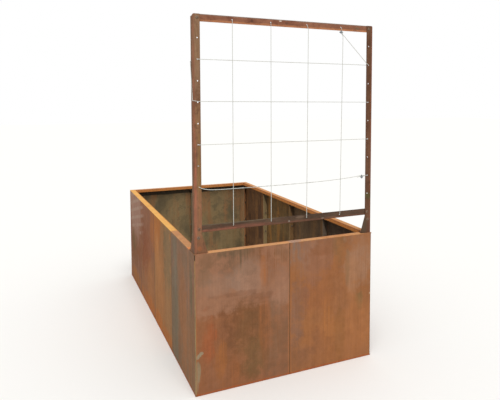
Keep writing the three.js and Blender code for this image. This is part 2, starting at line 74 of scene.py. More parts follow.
CAD_LOW, CAD_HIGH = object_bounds()
STILE_LOW, STILE_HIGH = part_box("trellis_stile_left")
PANEL_LOW, PANEL_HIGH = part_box("front_panel_1")
BODY = "root"
FORWARD = Vector((0, -1, 0))
SIDES = {"left": -1, "right": 1}


def tone(code):
    """A colour from its six-digit sRGB code, in Blender's linear values."""
    channels = [int(code[at : at + 2], 16) / 255 for at in (0, 2, 4)]
    return tuple(c / 12.92 if c <= 0.04045 else ((c + 0.055) / 1.055) ** 2.4 for c in channels)


def tones(codes):
    return tuple(tone(code) for code in codes.split())


def length(description, default):
    return FloatProperty(description=description, default=default, min=0.0, unit="LENGTH", precision=4)


def colour(description, code):
    return FloatVectorProperty(description=description, default=tone(code), min=0.0, max=1.0, subtype="COLOR")


# ---------------------------------------------------------------- sizes and colours


class WallSizes(bpy.types.PropertyGroup):
    """The folded wall panels and their bolted seams"""

    width: length("Width of the planter, across the trellis side", CAD_HIGH.x - CAD_LOW.x)
    length: length("Length of the planter, along the long walls", CAD_HIGH.y - CAD_LOW.y)
    height: length("Height of the walls", PANEL_HIGH.z)
    sheet: length("Thickness of the wall sheet", 0.002)
    rim: length("Width of the folded rim", PANEL_HIGH.y - PANEL_LOW.y)
    lip: length("Depth of the rim's turned-down lip", 0.020)
    ground_return: length("Width of the bottom fold", 0.030)
    fold: length("Outer radius of the wall's folds", 0.003)
    relief: length("Clearance between a flange and the folds above and below it", 0.006)
    gap: length("Gap between two panels at a seam", 0.0003)
    swell: length("How far the middle of a panel gives inwards", 0.0012)
    bolt_pitch: length("Height from one seam bolt to the next", 0.150)
    lowest_bolt: length("Height of the lowest seam bolt", 0.070)
    across_flats: length("Size of the bolt heads and nuts across their flats", 0.013)
    head: length("Height of a bolt head", 0.0055)
    nut: length("Height of a nut", 0.0065)
    shank: length("Radius of a bolt's shank", 0.004)
    thread_past_nut: length("Length of thread that shows past a nut", 0.003)


class TrellisSizes(bpy.types.PropertyGroup):
    """The folded angles of the trellis, its feet and its bolts"""

    top: length("Height of the trellis above the ground", CAD_HIGH.z)
    inset: length("Distance of the frame from the planter's end", 0.006)
    side_inset: length("Distance of the frame from the planter's sides", 0.004)
    plate: length("Thickness of the frame's plate", 0.003)
    fold: length("Outer radius of the frame's folds", 0.0035)
    clearance: length("Gap between two pieces that lie on each other", 0.0003)
    stile_width: length("Width of a stile's face", 0.037)
    stile_depth: length("Depth of a stile's side flange", 0.028)
    corner: length("Radius of the frame's rounded top corners", 0.010)
    flare_width: length("Width of a stile's face at its foot", STILE_HIGH.x - STILE_LOW.x)
    flare_depth: length("Depth of a stile's side flange at its foot", STILE_HIGH.y - STILE_LOW.y)
    flare_height: length("Height of the foot", 0.095)
    rail_height: length("Height of a rail's face", 0.035)
    rail_depth: length("Depth of a rail's flange", 0.030)
    plant_gap: length("Gap between the rim and the bottom rail", 0.100)
    hole: length("Radius of the punched lacing holes", 0.0033)
    hole_pitch: length("Distance from one hole of a stile to the next", 0.100)
    hole_margin: length("Least height of a stile's hole above the bottom rail", 0.060)
    rail_hole_pitch: length("Distance from one hole of a rail to the next", 0.200)
    rail_hole_margin: length("Least distance of a rail's hole from the stile", 0.050)
    hole_gauge: length("Distance of the stile's holes from its outer edge", 0.024)
    first_hole_drop: length("Drop of the stile's first hole below the top", 0.110)
    bracket_height: length("Height of the bracket behind a stile's foot", 0.090)
    bracket_edge: length("How far the bracket stops short of the foot's slope", 0.003)
    bracket_bolt_height: length("Height of the bracket's bolt above the rim", 0.076)
    bracket_bolt_gauge: length("Distance of the bracket's bolt from the outer edge", 0.020)
    tab_width: length("Width of the bracket's tab on the rim", 0.054)
    tab_depth: length("Depth of the bracket's tab on the rim", 0.029)
    rim_bolt_reach: length("Distance of the rim bolt from the planter's side", 0.050)
    rim_bolt_gauge: length("Distance of the rim bolt from the planter's end", 0.023)
    button_radius: length("Radius of a button-head bolt", 0.008)
    button_height: length("Height of a button-head bolt", 0.0035)
    socket_radius: length("Radius of the key socket in a button head", 0.0036)
    socket_depth: length("Depth of the key socket", 0.0022)


class LacingSizes(bpy.types.PropertyGroup):
    """The laced wire and its two clips"""

    radius: length("Radius of the climbing wire", 0.0015)
    bend: length("Radius of the wire's sharp bends", 0.0016)
    tail: length("Length of the wire's free ends", 0.028)
    lead: length("How far the wire runs on past an edge before it bends", 0.004)
    slant_width: length("Sideways set of a column below its top hole", 0.007)
    slant_height: length("Height over which a column slants", 0.022)
    forward: length("How far past the last column the first row comes forward", 0.060)
    sag: length("Sag of the last row", 0.019)
    kink: length("Length over which the last row drops from its hole", 0.028)
    clip_straight: length("Half the straight length of wire in a clip", 0.009)
    clip_below_rail: length("Drop of the top clip below the rail", 0.008)
    clip_beside_hole: length("Sideways set of the top clip", 0.006)
    clip_from_stile: length("Distance of the side clip from the stile", 0.023)
    clip_leg: length("Radius of a clip's U-bolt", 0.0016)
    saddle_length: length("Length of a clip's saddle", 0.013)
    saddle_height: length("Thickness of a clip's saddle", 0.005)
    saddle_edge: length("Radius of the edges of a clip's saddle", 0.0012)
    clip_nut: length("Height of a clip's nuts", 0.0032)
    clip_flats: length("Size of a clip's nuts across their flats", 0.006)
    clip_thread: length("Length of leg past a clip's nuts", 0.002)
    sides: IntProperty(description="Faces round the wire", default=10, min=6, max=24)


class PatinaColours(bpy.types.PropertyGroup):
    """The colours that many pieces share"""

    umber: colour("Dark, wet-looking brown of the streaks", "6f4a33")
    seam_edge: colour("Dark fold beside a seam", "4b3524")
    fresh: colour("Fresh rust along the ground", "a9582c")
    # Painted shadow of the rim on the head of an inner flange
    wedge: colour("Damp at the head of an inner flange", "3a3229")
    # Painted shadow under the rim, inside
    damp: colour("Damp under the rim, inside", "2b251f")
    bolt: colour("Dull rusted zinc of the seam bolts", "8a7d68")
    frame_bolt: colour("Rusted zinc of the frame's bolts", "7d6a58")
    wire: colour("Galvanised grey of the wire", "cccdc6")
    dull_wire: colour("Duller grey of the wire", "b5b2a6")
    clip: colour("Dull zinc grey of the clips", "8d9296")
    dull_clip: colour("Darker grey of the clips", "6d747a")


class StageSettings(bpy.types.PropertyGroup):
    """The floor, the lamps and the camera"""

    floor: colour("Colour of the studio floor", "f2f1ee")
    sky: FloatProperty(description="Strength of the even light from all round", default=0.72, min=0.0)
    key: FloatProperty(description="Strength of the soft light from above the front", default=1.5, min=0.0)
    key_softness: FloatProperty(
        description="Angle that the key light fills", default=math.radians(35), subtype="ANGLE"
    )


GROUPS = {
    "planter_walls": WallSizes,
    "planter_trellis": TrellisSizes,
    "planter_lacing": LacingSizes,
    "planter_patina": PatinaColours,
    "planter_stage": StageSettings,
}


# ---------------------------------------------------------------- node trees


class Nodes:
    """A node tree that is built one value after another. Its values are sockets or plain numbers."""

    def __init__(self, tree):
        self.tree = tree

    def node(self, kind, settings=None, **inputs):
        made = self.tree.nodes.new(kind)
        for key, value in (settings or {}).items():
            setattr(made, key, value)
        for key, value in inputs.items():
            self.feed(made.inputs[key.replace("_", " ")], value)
        return made

    def feed(self, socket, value):
        if isinstance(value, bpy.types.NodeSocket):
            self.tree.links.new(value, socket)
        elif socket.type == "RGBA":
            socket.default_value = (*value, 1.0)
        else:
            socket.default_value = value

    def math(self, operation, *values):
        made = self.node("ShaderNodeMath", {"operation": operation})
        for socket, value in zip(made.inputs, values):
            self.feed(socket, value)
        return made.outputs[0]

    def plus(self, first, second):
        return self.math("ADD", first, second)

    def less(self, first, second):
        return self.math("SUBTRACT", first, second)

    def times(self, first, *others):
        for value in others:
            first = self.math("MULTIPLY", first, value)
        return first

    def swayed(self, value, by, factor):
        """The value, moved by another one times a factor."""
        return self.math("MULTIPLY_ADD", by, factor, value)


Patch = namedtuple("Patch", "along up width height colour amount streaky crisp", defaults=(0.0, 0.0))


class Finish(Nodes):
    """The shader tree of one material, whose patterns sit on the object's own coordinates."""

    def __init__(self, name):
        self.material = bpy.data.materials.new(name)
        self.material.use_nodes = True
        super().__init__(self.material.node_tree)
        self.tree.nodes.clear()
        self.place = self.node("ShaderNodeTexCoord").outputs["Object"]
        self.x, self.y, self.z = self.node("ShaderNodeSeparateXYZ", Vector=self.place).outputs

    def fade(self, value, low, high, start=0.0, end=1.0):
        """A smooth change from start to end while value goes from low to high."""
        made = self.node("ShaderNodeMapRange", {"interpolation_type": "SMOOTHSTEP"}, Value=value)
        for index, number in zip((1, 2, 3, 4), (low, high, start, end)):
            self.feed(made.inputs[index], number)
        return made.outputs[0]

    def moved(self, operation, numbers, place=None):
        """A place with three numbers added or multiplied in."""
        made = self.node("ShaderNodeVectorMath", {"operation": operation})
        self.feed(made.inputs[0], place or self.place)
        self.feed(made.inputs[1], numbers)
        return made.outputs[0]

    def clouds(self, place, scale, detail, roughness, distortion=0.0):
        sizes = dict(Scale=scale, Detail=detail, Roughness=roughness, Distortion=distortion)
        return self.node("ShaderNodeTexNoise", {"normalize": True}, Vector=place, **sizes).outputs["Fac"]

    def streaks(self, stretch, place, detail, roughness):
        """Clouds drawn out to lines. The longest lines run along the axis with the least number."""
        return self.clouds(self.moved("MULTIPLY", stretch, place), 1.0, detail, roughness)

    def mixed(self, share, first, second):
        made = self.node("ShaderNodeMix", {"data_type": "RGBA", "clamp_factor": True})
        for index, value in zip((0, 6, 7), (share, first, second)):
            self.feed(made.inputs[index], value)
        return made.outputs[2]

    def layered(self, skin, over, value, low, high, start=0.0, end=1.0):
        """The skin under another colour, whose share goes from start to end."""
        return self.mixed(self.fade(value, low, high, start, end), skin, over)

    def lightened(self, skin, factor):
        made = self.node("ShaderNodeVectorMath", {"operation": "SCALE"}, Scale=factor)
        self.feed(made.inputs[0], skin)
        return made.outputs[0]

    def mask(self, patch, along, up):
        """Where a soft-edged patch lies. Its edge wanders with `wobble`, and `fine` can break it up."""
        sideways = self.math("DIVIDE", self.less(along, patch.along), patch.width / 2)
        upwards = self.math("DIVIDE", self.less(up, patch.up), patch.height / 2)
        reach = self.swayed(self.times(sideways, sideways), upwards, upwards)
        wandering = self.swayed(reach, self.wobble, 1.0 - 0.7 * patch.crisp)
        low, high = 0.2 + 0.65 * patch.crisp, 1.7 - 0.55 * patch.crisp
        mask = self.fade(wandering, low, high, patch.amount, 0.0)
        if patch.streaky:
            mask = self.times(mask, self.fade(self.fine, 0.38, 0.64, 1.0 - patch.streaky, 1.0))
        return mask

    def patched(self, skin, patches, along, up):
        for patch in patches:
            skin = self.mixed(self.mask(patch, along, up), skin, tone(patch.colour))
        return skin

    def bumped(self, height, distance, strength):
        return self.node("ShaderNodeBump", Height=height, Distance=distance, Strength=strength).outputs[0]

    def pitted(self, strength):
        """The fine pits of rust, from the grain and the mottle."""
        return self.bumped(self.swayed(self.times(self.mottle, 0.6), self.grain, 0.6), 0.0004, strength)

    def finished(self, base, roughness, normal, metallic=0.0, specular=0.35):
        looks = dict(Base_Color=base, Roughness=roughness, Normal=normal, Metallic=metallic)
        return self.shaded(self.node("ShaderNodeBsdfPrincipled", Specular_IOR_Level=specular, **looks))

    def shaded(self, shader):
        self.node("ShaderNodeOutputMaterial", Surface=shader.outputs[0])
        return self.material


# ---------------------------------------------------------------- finishes


class Wall(namedtuple("Wall", "name turn centre length span names")):
    """One wall. In its own frame x runs along it and y points inwards from its outer face."""

    def at(self, x, inward, up):
        return self.centre + self.turn @ Vector((x, inward, up))


def walls():
    """The four walls, each with its panels named in order along it."""
    sizes = bpy.context.scene.planter_walls
    made = []
    for name, turn in (("front", 0), ("back", 180), ("right", 90), ("left", -90)):
        lengthwise = name in ("left", "right")
        whole, across = (sizes.length, sizes.width) if lengthwise else (sizes.width, sizes.length)
        names = [f"{name}_panel_{index + 1}" for index in range(4 if lengthwise else 2)]
        if name in ("back", "left"):
            names.reverse()
        turned = Matrix.Rotation(math.radians(turn), 4, "Z")
        centre = turned @ Vector((0, -across / 2, 0))
        made.append(Wall(name, turned, centre, whole, whole / len(names), names))
    return made


class WallFinish(Finish):
    """The tree of one wall panel, with the places and noises that its layers share."""

    def __init__(self, name, wall, seed):
        super().__init__(name)
        sizes = bpy.context.scene.planter_walls
        lengthwise = wall.name in ("left", "right")
        self.along, crosswise = (self.y, self.x) if lengthwise else (self.x, self.y)
        half = (sizes.width if lengthwise else sizes.length) / 2
        low_side = wall.name in ("front", "left")
        self.inward = self.plus(crosswise, half) if low_side else self.less(half, crosswise)
        past_seam = self.math("MODULO", self.plus(self.along, 10 * wall.span), wall.span)
        from_middle = self.math("ABSOLUTE", self.less(past_seam, wall.span / 2))
        self.to_seam = self.less(wall.span / 2, from_middle)
        self.to_end = self.less(wall.length / 2, self.math("ABSOLUTE", self.along))
        self.own = self.moved("ADD", (seed * 3.1, seed * 1.7, seed * 0.9))
        self.mottle = self.clouds(self.own, 24, 4, 0.65)
        self.grain = self.clouds(self.own, 420, 3, 0.7)
        self.fine = self.streaks((110, 110, 3.4), self.own, 5, 0.72)
        self.broad = self.streaks((20, 20, 1.3), self.own, 3, 0.6)
        self.soft = self.streaks((7, 7, 4.5), self.own, 4, 0.62)
        both = self.swayed(self.times(self.soft, 0.65), self.mottle, 0.35)
        self.wobble = self.fade(both, 0.36, 0.64, -0.9, 0.9)


def outer_skin(f, look, height, patina):
    """Two tones that meet at a wandering tide line, then clouds, patches, drips and the seams' own rust."""
    level = f.swayed(f.z, f.wobble, look.tide_wander)
    skin = f.layered(look.low, look.high, level, look.tide - look.tide_blur, look.tide + look.tide_blur)
    skin = f.layered(skin, look.cloud, f.clouds(f.own, 3.1, 4, 0.6, 0.5), 0.45, 0.7, 0.0, look.cloud_amount)
    skin = f.patched(skin, look.patches, f.along, f.z)
    # Painted reflection: pale slanted bands of light on the wavy sheet, painted into the colour
    if look.ripple:
        wave = f.math("SINE", f.times(f.swayed(f.z, f.along, 0.23), 101.0))
        crest = f.times(f.fade(wave, -0.2, 1.0), f.mask(look.ripple, f.along, f.z))
        skin = f.mixed(crest, skin, tone(look.ripple.colour))
    hanging = f.fade(f.z, height - 0.26, height - 0.01)
    skin = f.mixed(f.times(f.fade(f.fine, 0.52, 0.70), hanging, 0.42 * look.streaks), skin, patina.umber)

    # Beside a bolted seam the rust runs brighter, the fold itself is dark, and the ground edge is fresh
    glow = f.fade(f.swayed(f.to_seam, f.fine, 0.012), 0.008, 0.020, 0.55, 0.0)
    skin = f.mixed(f.times(glow, f.fade(f.z, 0.36, 0.50, 1.0, 0.35)), skin, look.glow)
    skin = f.layered(skin, patina.seam_edge, f.to_seam, 0.0012, 0.0028, 0.75, 0.0)
    return f.layered(skin, patina.fresh, f.swayed(f.z, f.mottle, 0.02), 0.012, 0.026, 0.8, 0.0)


def inner_skin(f, look, wall, patina):
    """A mottled skin with runs of brighter rust, and flanges painted paler, partly as lit. Painted shadow
    lies under the rim, and painted light lightens the ends of each wall.
    """
    main, dark, bright, flange_tone_and_light = look.inside
    cloud = f.clouds(f.moved("ADD", (1.3, 9.2, 3.3), f.own), 4.2, 5, 0.65, 0.4)
    skin = f.layered(main, dark, cloud, 0.40, 0.64)
    run = f.streaks((13, 13, 1.8), f.moved("ADD", (4.0, 1.0, 0.0), f.own), 5, 0.66)
    skin = f.layered(skin, bright, run, 0.47, 0.62, 0.0, 0.85)
    skin = f.layered(skin, dark, f.mottle, 0.48, 0.64, 0.0, 0.7)
    skin = f.layered(skin, main, f.soft, 0.50, 0.66, 0.0, 0.5)
    # The flanges take a paler tone: partly their own, partly painted light on their faces
    to_mitre = f.less(f.math("ABSOLUTE", f.less(f.to_end, f.inward)), 0.0007)
    flange = f.fade(f.math("MINIMUM", f.to_seam, to_mitre), 0.0042, 0.0048, 1.0, 0.0)
    flange = f.times(flange, f.fade(f.inward, 0.005, 0.008))
    skin = f.mixed(f.times(flange, 0.85), skin, flange_tone_and_light)

    # Painted shadow under the rim: deep along the back, and in a tapering band on each flange
    wedge = f.fade(f.swayed(f.z, f.inward, -3.0), 0.545, 0.570, 0.0, 0.75)
    skin = f.mixed(f.times(wedge, flange), skin, patina.wedge)
    painted_shadow_from = 0.640 if wall.name == "back" else 0.666
    level = f.swayed(f.z, f.wobble, 0.002)
    skin = f.layered(skin, patina.damp, level, painted_shadow_from, painted_shadow_from + 0.004, 0.0, 0.85)
    # Painted light: lighter towards the ends of each wall to offset the shade in its corners, and a little
    # darker towards the top
    painted_corner_light = f.fade(f.to_end, 0.025, 0.055, 1.45, 1.0)
    return f.lightened(skin, f.times(f.fade(f.z, 0.45, 0.67, 1.06, 0.95), painted_corner_light))


def wall_finish(name, wall, seed, look):
    """Weathering steel on one wall panel: bloom and streaks outside, a bright rim partly painted as lit from
    above, and an inside with painted shadow under the rim.
    """
    patina, height = bpy.context.scene.planter_patina, bpy.context.scene.planter_walls.height
    f = WallFinish(name, wall, seed)
    outside = f.fade(f.inward, 0.0013, 0.0015, 1.0, 0.0)
    surface = f.mixed(outside, inner_skin(f, look, wall, patina), outer_skin(f, look, height, patina))

    # The rim and its lip. The rim's bright tone is partly its own fresher rust and partly painted light from
    # above
    main, worn, edge, lip_tone = look.rim
    lip = f.layered(lip_tone, worn, f.mottle, 0.44, 0.64, 0.0, 0.7)
    on_lip = f.times(f.fade(f.inward, 0.0384, 0.0388), f.fade(f.z, 0.6, 0.61))
    surface = f.mixed(on_lip, surface, lip)
    rim = f.layered(main, worn, f.mottle, 0.45, 0.62, 0.0, 0.55)
    rim = f.layered(rim, worn, f.clouds(f.own, 7, 3, 0.6), 0.52, 0.7, 0.0, 0.6)
    rim = f.layered(rim, edge, f.swayed(f.inward, f.mottle, 0.008), 0.034, 0.039, 0.0, 0.8)
    rim = f.patched(rim, look.rim_patches, f.along, f.inward)
    on_rim = f.times(f.fade(f.z, height - 0.0032, height - 0.0022), f.fade(f.inward, 0.0, 0.0008, 0.35, 1.0))
    surface = f.mixed(on_rim, surface, rim)

    # An uneven depth of tone all over
    depth = 0.07 * look.streaks
    tint = f.times(f.fade(f.fine, 0.3, 0.7, 1 - depth, 1 + depth), f.fade(f.broad, 0.3, 0.7, 0.94, 1.06))
    tint = f.times(tint, f.fade(f.mottle, 0.3, 0.7, 0.93, 1.07), f.fade(f.grain, 0.3, 0.7, 0.93, 1.07))
    roughness = f.fade(f.clouds(f.own, 60, 3, 0.6), 0.3, 0.7, 0.76, 0.92)
    specular = 0.10 if wall.name in ("left", "right") else 0.25
    return f.finished(f.lightened(surface, tint), roughness, f.pitted(0.5), specular=specular)


def frame_finish(name, seed, codes, flank, grain_lines, patches):
    """The browner weathering steel of one trellis piece. `grain_lines` stretches its streaks."""
    scene = bpy.context.scene
    front = scene.planter_trellis.inset - scene.planter_walls.length / 2
    light, dark, blotch = tones(codes)
    f = Finish(name)
    own = f.moved("ADD", (seed * 2.3, seed * 4.1, seed * 1.3))
    f.mottle = f.clouds(own, 34, 4, 0.7)
    f.fine = f.streaks(grain_lines, own, 4, 0.65)
    f.grain = f.clouds(own, 520, 3, 0.7)
    f.wobble = f.fade(f.mottle, 0.34, 0.66, -0.5, 0.5)
    skin = f.layered(light, dark, f.clouds(own, 9, 4, 0.6), 0.38, 0.64)
    skin = f.layered(skin, blotch, f.mottle, 0.50, 0.66, 0.0, 0.65)
    skin = f.patched(skin, [Patch(*row) for row in patches], f.x, f.z)
    # The flange behind the face takes the flank tone; on the left stile that darker tone is painted shade on
    # the side flange
    behind = f.layered(tone(flank), dark, f.fine, 0.4, 0.65)
    skin = f.layered(skin, behind, f.y, front + 0.004, front + 0.006, 0.0, 0.85)
    tint = f.times(f.fade(f.fine, 0.3, 0.7, 0.86, 1.14), f.fade(f.grain, 0.3, 0.7, 0.92, 1.08))
    roughness = f.fade(f.clouds(own, 70, 3, 0.6), 0.3, 0.7, 0.74, 0.9)
    return f.finished(f.lightened(skin, tint), roughness, f.pitted(0.45), specular=0.15)


def bolt_finish(name, zinc, rusted):
    """Dull zinc that rust has begun to take."""
    f = Finish(name)
    spots = f.fade(f.clouds(f.place, 160, 4, 0.65), 0.52 - 0.06 * rusted, 0.70 - 0.08 * rusted)
    skin = f.mixed(spots, zinc, bpy.context.scene.planter_patina.umber)
    bump = f.bumped(f.clouds(f.place, 900, 3, 0.6), 0.0002, 0.4)
    return f.finished(skin, f.fade(spots, 0.0, 1.0, 0.5, 0.85), bump, f.fade(spots, 0.0, 1.0, 0.30, 0.0))


def zinc_finish(name, main, dull, metallic):
    """Galvanised steel with a faint spangle."""
    f = Finish(name)
    cells = f.node("ShaderNodeTexVoronoi", {"feature": "F1"}, Vector=f.place, Scale=420)
    shade = f.node("ShaderNodeSeparateColor", Color=cells.outputs["Color"]).outputs[0]
    skin = f.layered(main, dull, shade, 0.2, 0.8, 0.0, 0.45)
    skin = f.layered(skin, dull, f.clouds(f.place, 30, 3, 0.6), 0.5, 0.75, 0.0, 0.5)
    bump = f.bumped(f.clouds(f.place, 1200, 2, 0.6), 0.0001, 0.3)
    return f.finished(skin, f.fade(shade, 0.0, 1.0, 0.38, 0.55), bump, metallic, 0.5)


# ---------------------------------------------------------------- meshes


def new_piece(name, points, edges=(), faces=(), material=None):
    mesh = bpy.data.meshes.new(name)
    mesh.from_pydata([tuple(point) for point in points], edges, faces)
    mesh.update()
    made = bpy.data.objects.new(name, mesh)
    bpy.context.scene.collection.objects.link(made)
    if material:
        mesh.materials.append(material)
    return made


def settled(piece):
    """Turns the piece's modifiers into a plain mesh."""
    bpy.context.view_layer.update()
    depsgraph = bpy.context.evaluated_depsgraph_get()
    plain = bpy.data.meshes.new_from_object(piece.evaluated_get(depsgraph), depsgraph=depsgraph)
    piece.modifiers.clear()
    old = piece.data
    piece.data = plain
    bpy.data.meshes.remove(old)
    plain.name = piece.name
    return piece


def sharpened(piece, degrees):
    piece.data.set_sharp_from_angle(angle=math.radians(degrees))
    return piece


def folded_sheet(name, points, faces, towards, thickness, material, probe=0):
    """A folded sheet of the given outer skin, thickened inwards. The probe face looks along `towards`."""
    piece = new_piece(name, points, (), faces, material)
    if piece.data.polygons[probe].normal.dot(towards) < 0:
        piece.data.flip_normals()
    solid = piece.modifiers.new("Sheet thickness", "SOLIDIFY")
    solid.thickness = thickness
    solid.offset = -1.0
    solid.use_even_offset = True
    solid.use_quality_normals = True
    return settled(piece)


def evenly_shaded(piece):
    """Smooth folds between flat faces."""
    piece.data.shade_smooth()
    weight = sharpened(piece, 32).modifiers.new("Face weighting", "WEIGHTED_NORMAL")
    weight.keep_sharp = True
    return settled(piece)


def quads(rows):
    """The faces between rows of point numbers, where all rows have one length."""
    return [
        (a[i], a[i + 1], b[i + 1], b[i]) for a, b in zip(rows, rows[1:]) for i in range(len(a) - 1)
    ]


def lattice(rows):
    """Points and faces of a sheet from rows of points that all have one length."""
    count = len(rows[0])
    numbers = [range(start * count, (start + 1) * count) for start in range(len(rows))]
    return [point for row in rows for point in row], quads(numbers)


def arc(centre_a, centre_b, radius, first, last, steps=4):
    """Points of an arc in a plane, both ends included, with its angles in degrees."""
    angles = [math.radians(first + (last - first) * step / steps) for step in range(steps + 1)]
    return [(centre_a + radius * math.cos(a), centre_b + radius * math.sin(a)) for a in angles]


def carried(piece, slot, *nodes):
    """The piece stands for its CAD nodes and moves with the planter."""
    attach(piece, BODY)
    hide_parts(*nodes)


# ---------------------------------------------------------------- wall panels


def flange_line(sizes, at_corner):
    """The fold and flange at a panel's start, seen from above, as (along, inward) from the flange's tip."""
    r, half_gap = sizes.fold, sizes.gap / 2
    if not at_corner:
        tip = sizes.rim - 2 * sizes.sheet
        return [(half_gap, tip), (half_gap, tip / 2), *arc(r + half_gap, r, r, 180, 270)]
    bend = arc(r * (1 + math.sqrt(2)) + half_gap * math.sqrt(2), r, r, 135, 270, 6)
    reach = sizes.rim - 0.0075
    tip = (reach + half_gap * math.sqrt(2), reach)
    return [tip, ((tip[0] + bend[0][0]) / 2, (tip[1] + bend[0][1]) / 2), *bend]


def panel_skin(sizes, span, corner_start, corner_end):
    """One panel's outer skin in the wall's own frame from x = 0: points, faces and a face of its front."""
    r, h, w = sizes.fold, sizes.height, sizes.rim
    start = flange_line(sizes, corner_start)
    end = [(span - x, y) for x, y in flange_line(sizes, corner_end)][::-1]
    first, last = start[-1][0], end[0][0]
    columns, face_rows = 12, 14
    face = [first + (last - first) * step / columns for step in range(columns + 1)]
    low, high = sizes.relief, h - sizes.relief
    levels = [low + (high - low) * step / face_rows for step in range(face_rows + 1)]
    under = [(sizes.ground_return, 0.0), *arc(r, r, r, 270, 180), (0.0, low - 0.002)]
    over = [(0.0, high + 0.002), *arc(r, h - r, r, 180, 90), *arc(w - r, h - r, r, 90, 0), (w, h - sizes.lip)]
    points, faces = [], []

    def ends(inward):
        mitre = inward + sizes.gap / math.sqrt(2)
        near = mitre if corner_start else sizes.gap / 2
        return near, span - (mitre if corner_end else sizes.gap / 2)

    def added(line):
        points.extend(line)
        return list(range(len(points) - len(line), len(points)))

    def strip(inward, up):
        near, far = ends(inward)
        flat_near, flat_far = ends(0.0)
        stretch = (far - near) / (flat_far - flat_near)
        line = [near + (x - flat_near) * stretch for x in [flat_near, *face, flat_far]]
        return added([(x, inward, up) for x in line])

    def swell(x, up):
        across = math.sin(math.pi * (x - first) / (last - first))
        upwards = math.sin(math.pi * (up - low) / (high - low))
        return sizes.swell * max(across, 0.0) * max(upwards, 0.0)

    def front_row(up):
        flanges = [[(x, y, up) for x, y in line] for line in (start[:-1], end[1:])]
        return added([*flanges[0], *[(x, swell(x, up), up) for x in face], *flanges[1]])

    foot = [strip(*place) for place in under]
    front = [front_row(up) for up in levels]
    rim = [strip(*place) for place in over]
    lead = len(start) - 1
    low_edge, high_edge = [row[lead : lead + len(face)] for row in (front[0], front[-1])]
    faces += quads(foot) + quads([foot[-1][1:-1], low_edge])
    probe = len(faces) + 3 * (len(front[0]) - 1) + lead + columns // 2
    faces += quads(front) + quads([high_edge, rim[0][1:-1]]) + quads(rim)
    return points, faces, probe


Look = namedtuple(
    "Look",
    "low high cloud patches rim_patches tide tide_blur tide_wander cloud_amount streaks"
    " glow inside rim ripple",
)
OLIVE_INSIDE = tones("927c57 6c5f46 99704b 8b8066")
# Rim tones are brighter than the walls: partly fresher rust, partly painted light from above
BRIGHT_RIM = tones("e3ac5f d3954f c98646 b97740")
TAN_RIM = tones("cb9462 bb7f4a 86492b cb8142")
DULL_RIM = tones("c08a5c a97550 b3784e a97048")


def looked(codes, patches, rim_patches=(), **others):
    """How one panel has weathered: its low, high and cloud tones, and the patches that belong to it."""
    rest = dict(tide=0.39, tide_blur=0.03, tide_wander=0.02, cloud_amount=0.5, streaks=0.8)
    rest.update(glow=tone("a5683b"), inside=OLIVE_INSIDE, rim=TAN_RIM, ripple=None)
    rest.update(others)
    patches, rim_patches = ([Patch(*row) for row in rows] for rows in (patches, rim_patches))
    return Look(*tones(codes), patches, rim_patches=rim_patches, **rest)


# The patches below are rows of: along, up, width, height, colour, amount, streaky, crisp. They were
# placed one by one. `along` runs along the wall, and on a rim `up` is the distance from the outer face.


def front_left_look():
    """The panel to the left below the trellis, with dark drips and a tide line."""
    drips = (
        (-0.272, 0.668, 0.22, 0.20, "5f4d38", 0.90, 0.85),
        (-0.300, 0.690, 0.16, 0.05, "64523b", 0.60, 0.3),
        (-0.437, 0.660, 0.12, 0.09, "73563b", 0.55, 0.3),
        (-0.452, 0.575, 0.07, 0.10, "755d45", 0.40),
        (-0.050, 0.660, 0.11, 0.10, "755b42", 0.60, 0.5),
        (-0.105, 0.600, 0.21, 0.30, "84502f", 0.65, 0.9),
    )
    bloom = (
        (-0.225, 0.545, 0.21, 0.17, "9c7c68", 0.50, 0.2),
        (-0.375, 0.530, 0.17, 0.12, "927663", 0.35, 0.2),
        (-0.060, 0.450, 0.13, 0.24, "96705a", 0.50, 0.3),
        (-0.143, 0.565, 0.040, 0.18, "a9642f", 0.60, 0.4),
        (-0.150, 0.448, 0.17, 0.030, "7b4f35", 0.40),
        (-0.300, 0.475, 0.24, 0.026, "7b4f35", 0.40),
        (-0.235, 0.430, 0.20, 0.060, "85593d", 0.40),
    )
    damp = (
        (-0.245, 0.320, 0.22, 0.20, "71492a", 0.58),
        (-0.215, 0.210, 0.20, 0.30, "725030", 0.48),
        (-0.385, 0.280, 0.18, 0.26, "7d5034", 0.45),
        (-0.190, 0.150, 0.12, 0.18, "6a5432", 0.50, 0.4),
        (-0.060, 0.190, 0.15, 0.42, "775a42", 0.60, 0.5),
        (-0.430, 0.285, 0.090, 0.22, "a5562e", 0.60, 0.5),
        (-0.372, 0.140, 0.060, 0.24, "a0622f", 0.60, 0.6),
        (-0.140, 0.260, 0.060, 0.30, "9e5f36", 0.55, 0.6),
        (-0.300, 0.090, 0.050, 0.18, "98592f", 0.45, 0.6),
        (-0.440, 0.090, 0.12, 0.16, "8a5738", 0.45, 0.3),
    )
    scuffs = (
        (-0.490, 0.193, 0.022, 0.018, "8f846a", 0.75, 0.0, 0.9),
        (-0.480, 0.202, 0.022, 0.017, "8f846a", 0.75, 0.0, 0.9),
        (-0.470, 0.211, 0.022, 0.017, "8f846a", 0.75, 0.0, 0.9),
        (-0.487, 0.112, 0.030, 0.110, "8a7c60", 0.75, 0.0, 0.7),
        (-0.493, 0.060, 0.016, 0.070, "8a7c60", 0.60, 0.0, 0.6),
    )
    under_foot = (-0.469, 0.010, 0.078, 0.10, "85583e", 0.90, 0.0, 0.5)
    tide = dict(tide=0.392, tide_blur=0.016, tide_wander=0.022)
    return looked("8b5a3a 95694e 86614a", drips + bloom + damp + scuffs, (under_foot,), **tide)


